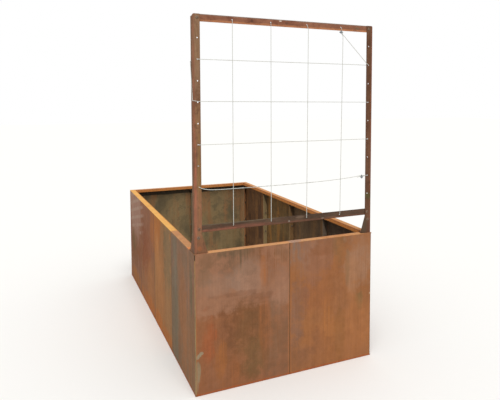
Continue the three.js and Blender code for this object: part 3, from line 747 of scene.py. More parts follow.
def front_right_look():
    """The panel to the right below the trellis, more orange, with grey runs beside the seam."""
    runs = (
        (0.110, 0.610, 0.28, 0.28, "8c6f60", 0.62, 0.4),
        (0.030, 0.640, 0.08, 0.17, "7c6d62", 0.65, 0.8),
        (0.205, 0.650, 0.14, 0.08, "7f5336", 0.60, 0.2),
        (0.350, 0.655, 0.12, 0.11, "7f5233", 0.65, 0.2),
        (0.045, 0.340, 0.105, 0.42, "7d5f50", 0.65, 0.3),
        (0.300, 0.630, 0.08, 0.18, "85653f", 0.45, 0.3),
        (0.060, 0.080, 0.20, 0.20, "80593f", 0.50, 0.3),
    )
    warm = (
        (0.180, 0.440, 0.28, 0.40, "955c38", 0.50, 0.2),
        (0.440, 0.570, 0.24, 0.32, "a27c62", 0.65, 0.35),
        (0.380, 0.470, 0.10, 0.20, "a06e48", 0.40, 0.4),
        (0.428, 0.340, 0.050, 0.10, "7a653e", 0.60, 0.3),
        (0.225, 0.210, 0.09, 0.34, "ab6c37", 0.60, 0.6),
        (0.400, 0.190, 0.22, 0.30, "a56a3e", 0.60, 0.2),
        (0.300, 0.180, 0.06, 0.34, "86592f", 0.50, 0.4),
        (0.150, 0.110, 0.20, 0.20, "88583a", 0.50, 0.3),
        (0.345, 0.560, 0.026, 0.22, "80603c", 0.45, 0.5),
        (0.494, 0.358, 0.014, 0.010, "c7b094", 0.90, 0.0, 0.9),
        (0.494, 0.241, 0.012, 0.010, "6b4a33", 0.90, 0.0, 0.9),
    )
    rim_stain = (
        (0.035, 0.015, 0.10, 0.10, "a08274", 0.75, 0.0, 0.2),
        (0.300, 0.010, 0.20, 0.05, "b8743f", 0.50),
        (0.472, 0.010, 0.085, 0.10, "8a5b3d", 0.90, 0.0, 0.5),
    )
    return looked("97623a 956039 8d6042", runs + warm, rim_stain, tide_blur=0.15)


def left_looks():
    """The long wall at the left: olive near the trellis, an orange run, then plum at the far end, with
    painted reflections.
    """
    near = (
        (-0.580, 0.360, 0.17, 0.90, "72634f", 0.85, 0.25),
        (-0.620, 0.240, 0.09, 0.44, "6b604d", 0.60, 0.3),
        (-0.590, 0.560, 0.06, 0.30, "7b6f5e", 0.50, 0.4),
        (-0.750, 0.350, 0.18, 0.66, "93623f", 0.80, 0.3),
        (-0.700, 0.600, 0.10, 0.20, "83644e", 0.50, 0.3),
        (-0.880, 0.340, 0.022, 0.86, "a06f4c", 0.55, 0.2),
        (-0.935, 0.500, 0.040, 0.22, "5f5a41", 0.60, 0.2),
        (-0.975, 0.250, 0.050, 0.50, "845e42", 0.55, 0.3),
        (-0.910, 0.150, 0.06, 0.34, "8c6040", 0.60, 0.3),
    )
    middle = (
        (-0.110, 0.600, 0.26, 0.34, "a6632c", 0.90, 0.3),
        (-0.150, 0.280, 0.34, 0.60, "a06b3f", 0.80, 0.2),
        (-0.120, 0.440, 0.12, 0.24, "ad7646", 0.60, 0.3),
        (-0.390, 0.520, 0.21, 0.46, "7c6547", 0.90, 0.3, 0.4),
        (-0.330, 0.580, 0.08, 0.26, "6c5c3f", 0.50, 0.4),
        (-0.400, 0.190, 0.20, 0.30, "946b45", 0.65, 0.2),
        (-0.200, 0.040, 0.62, 0.10, "a8642f", 0.75),
    )
    far = (
        (0.300, 0.370, 0.30, 0.40, "7e4729", 0.85, 0.15),
        (0.180, 0.500, 0.20, 0.30, "8a5535", 0.55, 0.2),
        (0.050, 0.600, 0.16, 0.30, "a2622f", 0.80, 0.3),
        (0.080, 0.200, 0.50, 0.26, "99663d", 0.75),
        (0.300, 0.660, 0.40, 0.12, "8c5c44", 0.60, 0.2),
        (0.260, 0.045, 0.50, 0.11, "a6632f", 0.75),
    )
    end = (
        (0.760, 0.260, 0.50, 0.20, "744929", 0.75, 0.1),
        (0.820, 0.330, 0.22, 0.12, "67502f", 0.60),
        (0.560, 0.330, 0.20, 0.34, "7f4c2c", 0.70, 0.1),
        (0.975, 0.300, 0.07, 0.80, "77402c", 0.70, 0.1),
        (0.750, 0.060, 0.70, 0.12, "96602f", 0.75),
    )
    notch_and_dull = (
        (-0.880, 0.020, 0.05, 0.12, "d2834c", 0.90, 0.0, 0.6),
        (-0.975, 0.020, 0.13, 0.20, "76543b", 1.00, 0.0, 0.6),
    )
    olive = dict(glow=tone("74634e"))
    # Pale slanted bands on the far panels are painted reflections of light on the wavy sheet
    ripple = Patch(0.720, 0.600, 0.56, 0.34, "a8917f", 0.45)
    plum = dict(glow=tone("8a5f43"), rim=BRIGHT_RIM, ripple=ripple)
    return {
        "left_panel_1": looked("7f5f45 80604a 72604a", near, notch_and_dull, rim=DULL_RIM, **olive),
        "left_panel_2": looked("906742 92663f 84643f", middle, rim=BRIGHT_RIM, **olive),
        "left_panel_3": looked("8f6140 845840 7f583d", far, **plum),
        "left_panel_4": looked("80573e 94715f 845f50", end, tide=0.42, tide_blur=0.07, **plum),
    }


def panel_looks():
    """How each wall panel has weathered. Panels that face away carry on the same palette."""
    looks = {"front_panel_1": front_left_look(), "front_panel_2": front_right_look(), **left_looks()}
    skins = ("8f5c3d 956850 7f5c46", "966039 926548 85573b", "8a5e43 8f6c55 986035")
    insides = {
        "right_panel_1": "5a4c3c 49392e 6b5440 9d8b78",
        "right_panel_2": "6c5740 574433 7d5e3e 9e7a52",
        "right_panel_3": "7a623f 5e4a32 976a38 a7946d",
        "right_panel_4": "7b5b40 5a4332 8a6440 b88a60",
    }
    starts = {"back_panel_1": -0.5, "back_panel_2": 0.0}
    starts.update({name: -1.0 + 0.5 * index for index, name in enumerate(insides)})
    for index, (name, start) in enumerate(starts.items()):
        patches = (
            (start + 0.14, 0.62, 0.24, 0.24, "6a533c", 0.70, 0.8),
            (start + 0.36, 0.50, 0.22, 0.24, "957763", 0.50, 0.3),
            (start + 0.22, 0.24, 0.28, 0.32, "6c4e39", 0.50, 0.2),
            (start + 0.42, 0.20, 0.10, 0.30, "a26433", 0.60, 0.6),
        )
        inside = tones(insides[name]) if name in insides else OLIVE_INSIDE
        looks[name] = looked(skins[index % 3], patches, tide=0.34 + 0.03 * (index % 3), inside=inside)
    return looks


class PLANTER_OT_wall_panels(bpy.types.Operator):
    """Fold the twelve wall panels, with their rims, ground returns and bolting flanges"""

    bl_idname = "planter.wall_panels"
    bl_label = "Wall panels"

    def execute(self, context):
        sizes = context.scene.planter_walls
        looks = panel_looks()
        seed = 0.0
        for wall in walls():
            for index, name in enumerate(wall.names):
                finish = wall_finish(f"{name}_patina", wall, seed, looks[name])
                seed += 1.7
                last = index == len(wall.names) - 1
                skin, faces, probe = panel_skin(sizes, wall.span, index == 0, last)
                start = index * wall.span - wall.length / 2
                points = [wall.at(start + x, inward, up) for x, inward, up in skin]
                towards = wall.turn @ FORWARD
                panel = folded_sheet(f"{name}_sheet", points, faces, towards, sizes.sheet, finish, probe)
                carried(evenly_shaded(panel), "weathering_steel", name)
        return {"FINISHED"}


# ---------------------------------------------------------------- recipes with Geometry Nodes


class Recipe(Nodes):
    """A Geometry Nodes tree with named inputs for its sizes, which `sizes` holds in their order."""

    def __init__(self, name, **sizes):
        super().__init__(bpy.data.node_groups.new(name, "GeometryNodeTree"))
        new_socket = self.tree.interface.new_socket
        for way in ("INPUT", "OUTPUT"):
            new_socket("Geometry", in_out=way, socket_type="NodeSocketGeometry")
        for label, value in sizes.items():
            kind = "NodeSocketInt" if isinstance(value, int) else "NodeSocketFloat"
            new_socket(label.replace("_", " "), in_out="INPUT", socket_type=kind).default_value = value
        self.given, *self.sizes = list(self.node("NodeGroupInput").outputs)[:-1]

    def lift(self, geometry, up):
        offset = self.node("ShaderNodeCombineXYZ", Z=up).outputs[0]
        return self.node("GeometryNodeTransform", Geometry=geometry, Translation=offset).outputs[0]

    def rod(self, sides, radius, depth, base):
        """An upright rod that stands on height `base`."""
        sizes = dict(Vertices=sides, Radius=radius, Depth=depth)
        rod = self.node("GeometryNodeMeshCylinder", {"fill_type": "NGON"}, **sizes)
        return self.lift(rod.outputs["Mesh"], self.plus(base, self.times(depth, 0.5)))

    def hexagon(self, corner, height, base, narrowing):
        """A hexagonal head that stands on height `base`, with its top edge turned down."""
        body = self.times(height, 0.8)
        sizes = dict(Vertices=6, Radius_Bottom=corner, Radius_Top=self.times(corner, narrowing))
        sizes["Depth"] = self.times(height, 0.2)
        crown = self.node("GeometryNodeMeshCone", {"fill_type": "NGON"}, **sizes).outputs["Mesh"]
        lifted = self.lift(crown, self.plus(base, body))
        return self.joined(self.rod(6, corner, body, base), lifted)

    def nut(self, corner, height, shank, past, depth):
        """A nut, `depth` below the origin, and the thread that shows past it."""
        base = self.less(self.less(0.0, depth), height)
        thread = self.rod(12, shank, self.plus(past, height), self.less(base, past))
        return self.joined(self.rod(6, corner, height, base), thread)

    def joined(self, *parts):
        join = self.node("GeometryNodeJoinGeometry")
        for part in parts:
            self.feed(join.inputs[0], part)
        return join.outputs[0]

    def cut(self, geometry, tool):
        cut = self.node("GeometryNodeMeshBoolean", {"operation": "DIFFERENCE", "solver": "EXACT"})
        self.feed(cut.inputs["Mesh 1"], geometry)
        self.feed(cut.inputs["Mesh 2"], tool)
        return cut.outputs["Mesh"]

    def real(self, geometry):
        return self.node("GeometryNodeRealizeInstances", Geometry=geometry).outputs[0]

    def applied(self, piece, geometry, material):
        """Runs the tree on the piece, and leaves a plain mesh in the material."""
        painted = self.node("GeometryNodeSetMaterial", Geometry=self.real(geometry), Material=material)
        self.node("NodeGroupOutput", Geometry=painted.outputs[0])
        piece.modifiers.new(self.tree.name, "NODES").node_group = self.tree
        return settled(piece)

    def copied(self, name, places, thing, material):
        """A piece with a copy of the thing at each place, its Z axis along the place's own aim."""
        piece = new_piece(name, [place for place, _ in places])
        aims = piece.data.attributes.new("aim", "FLOAT_VECTOR", "POINT")
        aims.data.foreach_set("vector", [number for _, aim in places for number in aim])
        aim = self.node("GeometryNodeInputNamedAttribute", {"data_type": "FLOAT_VECTOR"}, Name="aim")
        turn = self.node("FunctionNodeAlignRotationToVector", {"axis": "Z"}, Vector=aim.outputs["Attribute"])
        settings = dict(Points=self.given, Instance=thing, Rotation=turn.outputs[0])
        placed = self.node("GeometryNodeInstanceOnPoints", **settings).outputs[0]
        return self.applied(piece, placed, material)


def hex_bolts(name, places, sizes, material):
    """Hex bolts through two flanges, with their nuts. Each one's Z looks out of its head."""
    recipe = Recipe(
        "seam_bolt",
        Corner_radius=sizes.across_flats / math.sqrt(3),
        Head_height=sizes.head,
        Nut_height=sizes.nut,
        Shank_radius=sizes.shank,
        Thread_past_nut=sizes.thread_past_nut,
        Stack=2 * sizes.sheet + sizes.gap,
    )
    corner, head, nut, shank, past, stack = recipe.sizes
    half_stack = recipe.times(stack, 0.5)
    bolt = recipe.hexagon(corner, head, half_stack, 0.86)
    whole = recipe.joined(bolt, recipe.nut(corner, nut, shank, past, half_stack))
    return sharpened(recipe.copied(name, places, whole, material), 20)


def seam_bolt_places(sizes):
    """Where the seam and corner bolts sit, and the direction in which their heads look."""
    places = []
    bolts_per_seam = 5
    heights = [sizes.lowest_bolt + step * sizes.bolt_pitch for step in range(bolts_per_seam)]
    inset = (sizes.rim - sizes.sheet) / 2
    corner_reach = sizes.sheet + math.sqrt(2) * (sizes.rim - sizes.sheet) - sizes.relief
    corner_inset = corner_reach / 2 / math.sqrt(2)
    for wall in walls():
        seams = [(seam * wall.span, inset, (-1, 0, 0)) for seam in range(1, len(wall.names))]
        for along, inward, aim in [*seams, (corner_inset, corner_inset, (-1, 1, 0))]:
            towards = (wall.turn @ Vector(aim)).normalized()
            places += [(wall.at(along - wall.length / 2, inward, up), towards) for up in heights]
    return places


class PLANTER_OT_seam_bolts(bpy.types.Operator):
    """Bolt the panels to each other through their flanges"""

    bl_idname = "planter.seam_bolts"
    bl_label = "Seam bolts"

    def execute(self, context):
        sizes = context.scene.planter_walls
        material = bolt_finish("rusted_zinc", context.scene.planter_patina.bolt, 1.0)
        bolts = hex_bolts("seam_bolts", seam_bolt_places(sizes), sizes, material)
        carried(bolts, "rusted_bolts", *[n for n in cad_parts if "seam_" in n or "corner_bolt" in n])
        return {"FINISHED"}


# ---------------------------------------------------------------- trellis frame


class Trellis:
    """Where the pieces of the trellis frame lie, worked out from its sizes."""

    def __init__(self, context):
        walls_, t = context.scene.planter_walls, context.scene.planter_trellis
        self.sizes = t
        self.rim = walls_.height
        self.half = walls_.width / 2 - t.side_inset
        self.front = -walls_.length / 2 + t.inset
        self.stile_back = self.front + t.plate
        self.rail_front = self.stile_back + t.clearance
        self.rail_back = self.rail_front + t.plate
        self.base = walls_.height + t.clearance
        self.stile_inner = self.half - t.stile_width
        self.rail_half = self.half - t.corner
        self.top_hole = t.top - t.rail_height / 2
        self.bottom_rail_top = walls_.height + t.plant_gap + t.rail_height
        self.bottom_hole = self.bottom_rail_top - t.rail_height / 2
        self.hole_x = self.half - t.hole_gauge
        self.bracket_bolt = (self.half - t.bracket_bolt_gauge, walls_.height + t.bracket_bolt_height)
        self.rim_bolt = (walls_.width / 2 - t.rim_bolt_reach, t.rim_bolt_gauge - walls_.length / 2)

    def stile_heights(self):
        heights = []
        height = self.sizes.top - self.sizes.first_hole_drop
        while height > self.bottom_rail_top + self.sizes.hole_margin:
            heights.append(height)
            height -= self.sizes.hole_pitch
        return heights

    def rail_places(self):
        pitch = self.sizes.rail_hole_pitch
        pairs = int((self.stile_inner - self.sizes.rail_hole_margin) / pitch + 0.5)
        return [(step - pairs + 0.5) * pitch for step in range(2 * pairs)]


def fold(r):
    """Points round a fold of outer radius r, from (r, 0) to (0, r)."""
    angles = [math.radians(22.5 * step) for step in range(5)]
    return [(r - r * math.sin(a), r - r * math.cos(a)) for a in angles]


def angle_piece(trellis, name, rows, towards, material, holes=()):
    """A folded angle of the frame's plate from the rows of its outer skin, punched along Y."""
    t = trellis.sizes
    piece = folded_sheet(name, *lattice(rows), towards, t.plate, material)
    if not holes:
        return evenly_shaded(piece)
    mesh = piece.data
    before = len(mesh.vertices)
    mesh.vertices.add(len(holes))
    punch = mesh.attributes.new("punch", "FLOAT", "POINT")
    for index, (x, y, z) in enumerate(holes, before):
        mesh.vertices[index].co = (x, y + t.plate / 2, z)
        punch.data[index].value = 1.0
    mesh.update()
    recipe = Recipe("punched_holes", Hole_radius=t.hole, Punch_length=4 * t.plate, Punch_sides=24)
    radius, depth, sides = recipe.sizes
    marked = recipe.node("GeometryNodeInputNamedAttribute", {"data_type": "FLOAT"}, Name="punch")
    settings = dict(Geometry=recipe.given, Selection=marked.outputs["Attribute"])
    parted = recipe.node("GeometryNodeSeparateGeometry", {"domain": "POINT"}, **settings)
    sizes = dict(Vertices=sides, Radius=radius, Depth=depth)
    rod = recipe.node("GeometryNodeMeshCylinder", {"fill_type": "NGON"}, **sizes).outputs["Mesh"]
    lying = recipe.node("GeometryNodeTransform", Geometry=rod, Rotation=(math.pi / 2, 0, 0)).outputs[0]
    settings = dict(Points=parted.outputs["Selection"], Instance=lying)
    punches = recipe.real(recipe.node("GeometryNodeInstanceOnPoints", **settings).outputs[0])
    return evenly_shaded(recipe.applied(piece, recipe.cut(parted.outputs["Inverted"], punches), material))


def stile(trellis, name, side, material):
    """An upright folded angle with a flared foot and a rounded top corner."""
    t, r = trellis.sizes, trellis.sizes.fold
    face = [1.0, 0.6, 0.3]
    near = [t.corner, 0.0085, 0.007, 0.0055, 0.0045]
    side_steps = [0.35, 1.0]
    straight = [trellis.base, trellis.rim + t.flare_height / 2, trellis.rim + t.flare_height]
    straight += [t.top - 0.8, t.top - 0.6, t.top - 0.4, t.top - 0.2, t.top - t.corner - 0.02]

    def flared(up, wide, narrow):
        return wide + (narrow - wide) * min(max((up - trellis.rim) / t.flare_height, 0.0), 1.0)

    def column_places(up):
        width = flared(up, t.flare_width, t.stile_width)
        depth = flared(up, t.flare_depth, t.stile_depth)
        places = [(t.corner + (width - t.corner) * share, 0.0) for share in face]
        places += [(inwards, 0.0) for inwards in near] + fold(r)
        return places + [(0.0, r + (depth - r) * share) for share in side_steps]

    def top_at(inwards):
        aside = t.corner - min(inwards, t.corner)
        return t.top - t.corner + math.sqrt(t.corner**2 - aside**2)

    rows = [[(*place, up) for place in column_places(up)] for up in straight]
    last, end = rows[-1], straight[-1]
    for share in (0.3, 0.6, 0.8, 0.92, 1.0):
        rows.append([(i, d, end + (top_at(i) - end) * share) for i, d, _ in last])
    placed = [[(side * (trellis.half - i), trellis.front + d, z) for i, d, z in row] for row in rows]
    holes = [(side * trellis.hole_x, trellis.front, z) for z in trellis.stile_heights()]
    return angle_piece(trellis, name, placed, FORWARD, material, holes)


def rail(trellis, name, top, flange_up, material):
    """A level folded angle with a row of lacing holes, its flange on the outside of the frame."""
    t = trellis.sizes
    line = [(0.0, t.rail_height), (0.0, t.rail_height / 2), *fold(t.fold)[::-1]]
    line += [(t.rail_depth / 2, 0.0), (t.rail_depth, 0.0)]
    places = [(back, top - inwards if flange_up else top - t.rail_height + inwards) for back, inwards in line]
    stations = [trellis.rail_half * share for share in (-1, -0.5, 0, 0.5, 1)]
    rows = [[(x, trellis.rail_front + back, up) for back, up in places] for x in stations]
    holes = [(x, trellis.rail_front, top - t.rail_height / 2) for x in trellis.rail_places()]
    return angle_piece(trellis, name, rows, FORWARD, material, holes)


def bracket(trellis, name, side, material):
    """The folded angle behind a stile's foot, with its tab on the rim."""
    t = trellis.sizes
    outer = trellis.half - t.plate - t.clearance
    foot_width = t.flare_width - t.plate - t.clearance - t.bracket_edge
    slope = (t.flare_width - t.stile_width) / t.flare_height
    past_fold = 0.008
    line = [(back, 0.0, t.tab_width) for back in (t.tab_depth, t.tab_depth / 2, past_fold)]
    line += [(back, up, foot_width) for back, up in fold(t.fold)]
    line += [(0.0, up, foot_width - slope * up) for up in (t.bracket_height / 2, t.bracket_height)]
    rows = []
    for back, up, width in line:
        across = [side * (outer - width * share) for share in (0.0, 0.5, 1.0)]
        rows.append([(x, trellis.rail_front + back, trellis.base + up) for x in across])
    return angle_piece(trellis, name, rows, Vector((0, 0, -1)), material)


def frame_finishes():
    """The finishes of the left stile, the right stile, the top rail and the bottom rail."""
    upright, level = (150, 150, 14), (16, 120, 150)
    left = (
        (-0.478, 1.690, 0.10, 0.50, "8f7259", 0.60, 0.4),
        (-0.491, 1.270, 0.010, 1.90, "8a5340", 0.65, 0.3),
        (-0.487, 0.960, 0.010, 0.66, "a5654c", 0.75, 0.3),
        (-0.468, 1.060, 0.016, 0.42, "8d6c40", 0.70, 0.3),
        (-0.462, 1.300, 0.007, 1.60, "6f4d38", 0.45, 0.5),
        (-0.474, 0.890, 0.05, 0.20, "94614a", 0.60, 0.4),
        (-0.465, 0.735, 0.09, 0.09, "7c5138", 0.55, 0.2),
        (-0.470, 0.722, 0.020, 0.024, "965b39", 0.60, 0.0, 0.4),
        (-0.452, 0.745, 0.012, 0.020, "6b4a35", 0.60, 0.0, 0.4),
    )
    right = (
        (0.4925, 1.270, 0.012, 1.90, "84503a", 0.65, 0.3),
        (0.462, 1.270, 0.010, 1.60, "5a4030", 0.50, 0.3),
        (0.478, 0.905, 0.040, 0.040, "55512f", 0.80, 0.2),
        (0.450, 0.740, 0.060, 0.11, "4f4434", 0.80, 0.2),
        (0.482, 0.725, 0.030, 0.10, "5f3a2a", 0.60, 0.2),
    )
    top = (
        (0.0, 1.7975, 3.0, 0.013, "b8794f", 0.80, 0.4),
        (0.0, 1.830, 3.0, 0.010, "84776b", 0.75, 0.2),
        (-0.200, 1.813, 0.016, 0.016, "5a3b2e", 0.75, 0.0, 0.5),
        (-0.014, 1.815, 0.016, 0.014, "634636", 0.60, 0.0, 0.5),
        (-0.048, 1.822, 0.014, 0.006, "e0cfbd", 0.80, 0.0, 0.6),
        (0.400, 1.812, 0.030, 0.012, "66604a", 0.50, 0.0, 0.3),
    )
    bottom = (
        # A lighter, redder band along the bottom fold: painted light for the lit top of the flange
        (0.0, 0.804, 3.0, 0.012, "6f4a38", 0.80, 0.3),
        (-0.380, 0.805, 0.24, 0.014, "8f5a45", 0.80, 0.3),
        (-0.250, 0.812, 0.30, 0.016, "7f4f3f", 0.60, 0.3),
        (-0.300, 0.834, 0.44, 0.006, "6f6552", 0.70, 0.3),
        (0.000, 0.810, 0.012, 0.010, "8f857a", 0.75, 0.0, 0.6),
        (0.195, 0.808, 0.016, 0.008, "857869", 0.65, 0.0, 0.6),
        (0.062, 0.826, 0.045, 0.010, "7a6452", 0.55, 0.0, 0.3),
    )
    return (
        # The left stile's darker flank tone is painted shade
        frame_finish("left_stile_patina", 1.0, "8a6648 7c5840 6b4a36", "644736", upright, left),
        frame_finish("right_stile_patina", 2.0, "6c4b36 60402d 513729", "673d2c", upright, right),
        frame_finish("top_rail_patina", 3.0, "8f6049 82543f 6f4433", "7f6c5e", level, top),
        frame_finish("bottom_rail_patina", 4.0, "5a4637 4c3a2d 5e4032", "463a2f", level, bottom),
    )


class PLANTER_OT_trellis_frame(bpy.types.Operator):
    """Fold and punch the trellis frame's stiles, rails and brackets"""

    bl_idname = "planter.trellis_frame"
    bl_label = "Trellis frame"

    def execute(self, context):
        trellis = Trellis(context)
        left, right, top, bottom = frame_finishes()
        pieces = {
            "trellis_stile_left": stile(trellis, "left_stile_angle", -1, left),
            "trellis_stile_right": stile(trellis, "right_stile_angle", 1, right),
            "trellis_top_rail": rail(trellis, "top_rail_angle", trellis.sizes.top, True, top),
            "trellis_bottom_rail": rail(trellis, "bottom_rail_angle", trellis.bottom_rail_top, False, bottom),
            "trellis_bracket_left": bracket(trellis, "left_bracket_angle", -1, left),
            "trellis_bracket_right": bracket(trellis, "right_bracket_angle", 1, right),
        }
        for node, piece in pieces.items():
            carried(piece, "weathering_steel_frame", node)
        return {"FINISHED"}


def button_bolts(name, places, trellis, sizes, material):
    """Button-head bolts with a key socket, and their nuts. Each one's Z looks out of its head."""
    t = trellis.sizes
    recipe = Recipe(
        "button_bolt",
        Head_radius=t.button_radius,
        Head_height=t.button_height,
        Socket_radius=t.socket_radius,
        Socket_depth=t.socket_depth,
        Nut_corner=sizes.across_flats / math.sqrt(3),
        Nut_height=sizes.nut,
        Shank_radius=sizes.shank,
        Thread_past_nut=sizes.thread_past_nut,
        Grip=trellis.rail_back - trellis.front,
    )
    radius, height, socket_radius, socket_depth, *nut = recipe.sizes
    ball = recipe.node("GeometryNodeMeshUVSphere", Segments=24, Rings=12, Radius=1.0).outputs["Mesh"]
    scale = recipe.node("ShaderNodeCombineXYZ", X=radius, Y=radius, Z=height).outputs[0]
    dome = recipe.node("GeometryNodeTransform", Geometry=ball, Scale=scale).outputs[0]
    place = recipe.node("GeometryNodeInputPosition").outputs[0]
    up = recipe.node("ShaderNodeSeparateXYZ", Vector=place).outputs[2]
    settings = dict(Geometry=dome, Selection=recipe.math("GREATER_THAN", up, -1e-6))
    upper = recipe.node("GeometryNodeSeparateGeometry", {"domain": "POINT"}, **settings).outputs["Selection"]
    button = recipe.node("GeometryNodeConvexHull", Geometry=upper).outputs[0]
    socket = recipe.rod(6, socket_radius, height, recipe.less(height, socket_depth))
    whole = recipe.joined(recipe.cut(button, socket), recipe.nut(*nut))
    made = recipe.copied(name, places, whole, material)
    made.data.shade_smooth()
    return sharpened(made, 32)


class PLANTER_OT_frame_bolts(bpy.types.Operator):
    """Bolt the trellis frame together and its brackets to the rim"""

    bl_idname = "planter.frame_bolts"
    bl_label = "Frame bolts"

    def execute(self, context):
        sizes, trellis = context.scene.planter_walls, Trellis(context)
        material = bolt_finish("dull_zinc", context.scene.planter_patina.frame_bolt, 1.20)
        spots = {
            "frame_bolt_top": (trellis.hole_x, trellis.top_hole),
            "frame_bolt_bottom": (trellis.hole_x, trellis.bottom_hole),
            "bracket_bolt": trellis.bracket_bolt,
        }
        spread = [(way * x, trellis.front, z) for way in (-1, 1) for x, z in spots.values()]
        places = [(Vector(place), FORWARD) for place in spread]
        buttons = button_bolts("frame_button_bolts", places, trellis, sizes, material)
        carried(buttons, "rusted_bolts", *[f"{kind}_{side}" for kind in spots for side in SIDES])

        x, y = trellis.rim_bolt
        seat = trellis.base + trellis.sizes.plate - sizes.sheet - sizes.gap / 2
        places = [(Vector((way * x, y, seat)), Vector((0, 0, 1))) for way in (-1, 1)]
        rim_bolts = hex_bolts("rim_hex_bolts", places, sizes, material)
        carried(rim_bolts, "rusted_bolts", *[f"rim_bolt_{side}" for side in SIDES])
        return {"FINISHED"}


# ---------------------------------------------------------------- laced wire and its clips


class Lacing:
    """The wire's route through the frame, as the CAD lays it."""

    def __init__(self, context):
        trellis, s = Trellis(context), context.scene.planter_lacing
        self.trellis, self.s, t = trellis, s, trellis.sizes
        reach = t.clearance + s.radius
        self.over_rail, self.behind_rail = trellis.rail_front - reach, trellis.rail_back + reach
        self.over_stile, self.behind_stile = trellis.front - reach, trellis.stile_back + reach
        self.beside_stile, self.inside_stile = -trellis.half - reach, -trellis.half + t.plate + reach
        self.past_stile = trellis.front + t.stile_depth + reach
        self.strand = s.radius + t.clearance / 2
        slack = t.hole * math.cos(math.pi / 8) - reach
        self.columns = trellis.rail_places()
        second = trellis.stile_heights()[1::2]
        self.rows = second[len(second) % 2 :]
        self.under_top, self.over_bottom = trellis.top_hole - slack, trellis.bottom_hole + slack
        self.left_hole, self.right_hole = slack - trellis.hole_x, trellis.hole_x - slack
        self.under_rail = t.top - t.rail_height
        clip_x, clip_z = self.columns[-1] + s.clip_beside_hole, self.under_rail - s.clip_below_rail
        self.top_clip = Vector((clip_x, self.over_rail, clip_z))
        clip_x, clip_z = trellis.stile_inner - s.clip_from_stile, self.rows[-1] - self.strand
        self.side_clip = Vector((clip_x, self.over_rail, clip_z))

    def through(self, x, z, front, back):
        """In at a hole from the front to the back."""
        return [(x, front, z), (x, back, z)]

    def column_route(self):
        s, over, behind = self.s, self.over_rail, self.behind_rail
        route = [(self.columns[0] - s.tail, behind, self.under_top)]
        for index, x in enumerate(self.columns):
            top = self.through(x, self.under_top, behind, over)
            bottom = self.through(x, self.over_bottom, behind, over)
            slant = [(x + s.slant_width, over, self.under_top - s.slant_height)]
            if index % 2 == 0:
                route += [*top, *(slant if x > 0 else []), *bottom[::-1]]
            else:
                route += bottom if x == self.columns[-1] else [*bottom, *top[::-1]]
        return route

    def top_loop_route(self):
        s, clip, last = self.s, self.top_clip, self.columns[-1]
        over, behind = self.over_rail, self.behind_rail
        left, right = clip.x - self.strand, clip.x + self.strand
        below = clip.z - s.clip_straight
        return [
            (right + s.lead, over, below - 3 * s.lead),
            (left, over, below),
            (left, over, self.under_rail),
            *self.through(last, self.under_top, over, behind),
            (last + s.lead, behind, self.under_rail - s.lead),
            (right, over, clip.z + s.lead),
            (right, over, below),
        ]

    def row_route(self):
        s, rows, over, behind = self.s, self.rows, self.over_stile, self.behind_stile
        first, inner = rows[0], self.trellis.stile_inner
        route = [
            (inner - s.lead, over, first + 3 * s.lead),
            *self.through(self.right_hole, first, over, behind),
            (inner - 2 * s.lead, behind, first),
            (self.columns[-1] + s.forward, over, first),
            *self.through(self.left_hole, first, over, behind),
            (self.inside_stile, self.past_stile, first - 2 * s.lead),
            (self.beside_stile, self.past_stile, first - 2 * s.lead),
            (self.beside_stile, over, rows[1] + 2 * s.lead),
            (self.left_hole, over, rows[1] + s.lead),
        ]
        near, far = self.left_hole, self.right_hole
        for z in rows[1:]:
            if z != rows[1]:
                route += self.through(near, z, behind, over)
            if z != rows[-1]:
                route += self.through(far, z, over, behind)
            near, far = far, near
        return route

    def hanging_route(self):
        s, steps = self.s, 26
        span = self.side_clip.x - s.clip_straight - self.left_hole
        route = []
        for share in [(step / steps) ** 2 for step in range(1, steps)]:
            drop = s.sag * (1 - math.exp(-share * span / s.kink)) * (1 - share**5)
            route.append((self.left_hole + share * span, self.over_stile, self.rows[-1] - drop))
        return route

    def side_loop_route(self):
        s, clip, last, over = self.s, self.side_clip, self.rows[-1], self.over_rail
        start, end = clip.x - s.clip_straight, clip.x + s.clip_straight
        inner = self.trellis.stile_inner
        return [
            (start, over, clip.z + self.strand),
            (end, over, clip.z + self.strand),
            (inner - s.lead / 2, self.over_stile, last),
            *self.through(self.right_hole, last, self.over_stile, self.behind_stile),
            (inner - s.lead, self.behind_stile, last - s.lead),
            (end, over, clip.z - self.strand),
            (start, over, clip.z - self.strand),
            (start + s.clip_straight - s.tail, over, clip.z - self.strand - s.lead),
        ]

    def route(self):
        line = [*self.column_route(), *self.top_loop_route(), *self.row_route()]
        return line + self.hanging_route() + self.side_loop_route()


def round_wire(name, route, radius, bend, sides, material):
    """A round wire along the route, its sharp bends rounded."""
    piece = new_piece(name, route, [(i, i + 1) for i in range(len(route) - 1)])
    recipe = Recipe("round_wire", Wire_radius=radius, Bend_radius=bend, Wire_sides=sides)
    radius, bend, sides = recipe.sizes
    line = recipe.node("GeometryNodeMeshToCurve", Mesh=recipe.given).outputs[0]
    settings = dict(Curve=line, Count=4, Radius=bend, Limit_Radius=True)
    eased = recipe.node("GeometryNodeFilletCurve", {"mode": "POLY"}, **settings).outputs[0]
    section = recipe.node("GeometryNodeCurvePrimitiveCircle", Resolution=sides, Radius=radius).outputs[0]
    tube = recipe.node("GeometryNodeCurveToMesh", Curve=eased, Profile_Curve=section, Fill_Caps=True)
    smooth = recipe.node("GeometryNodeSetShadeSmooth", Geometry=tube.outputs[0])
    return recipe.applied(piece, smooth.outputs[0], material)


class PLANTER_OT_climbing_wire(bpy.types.Operator):
    """Lace the climbing wire through the frame's holes"""

    bl_idname = "planter.climbing_wire"
    bl_label = "Climbing wire"

    def execute(self, context):
        s, patina = context.scene.planter_lacing, context.scene.planter_patina
        material = zinc_finish("galvanised_wire_finish", patina.wire, patina.dull_wire, 0.3)
        wire = round_wire("laced_wire", Lacing(context).route(), s.radius, s.bend, s.sides, material)
        carried(wire, "galvanised_wire", "climbing_wire")
        return {"FINISHED"}


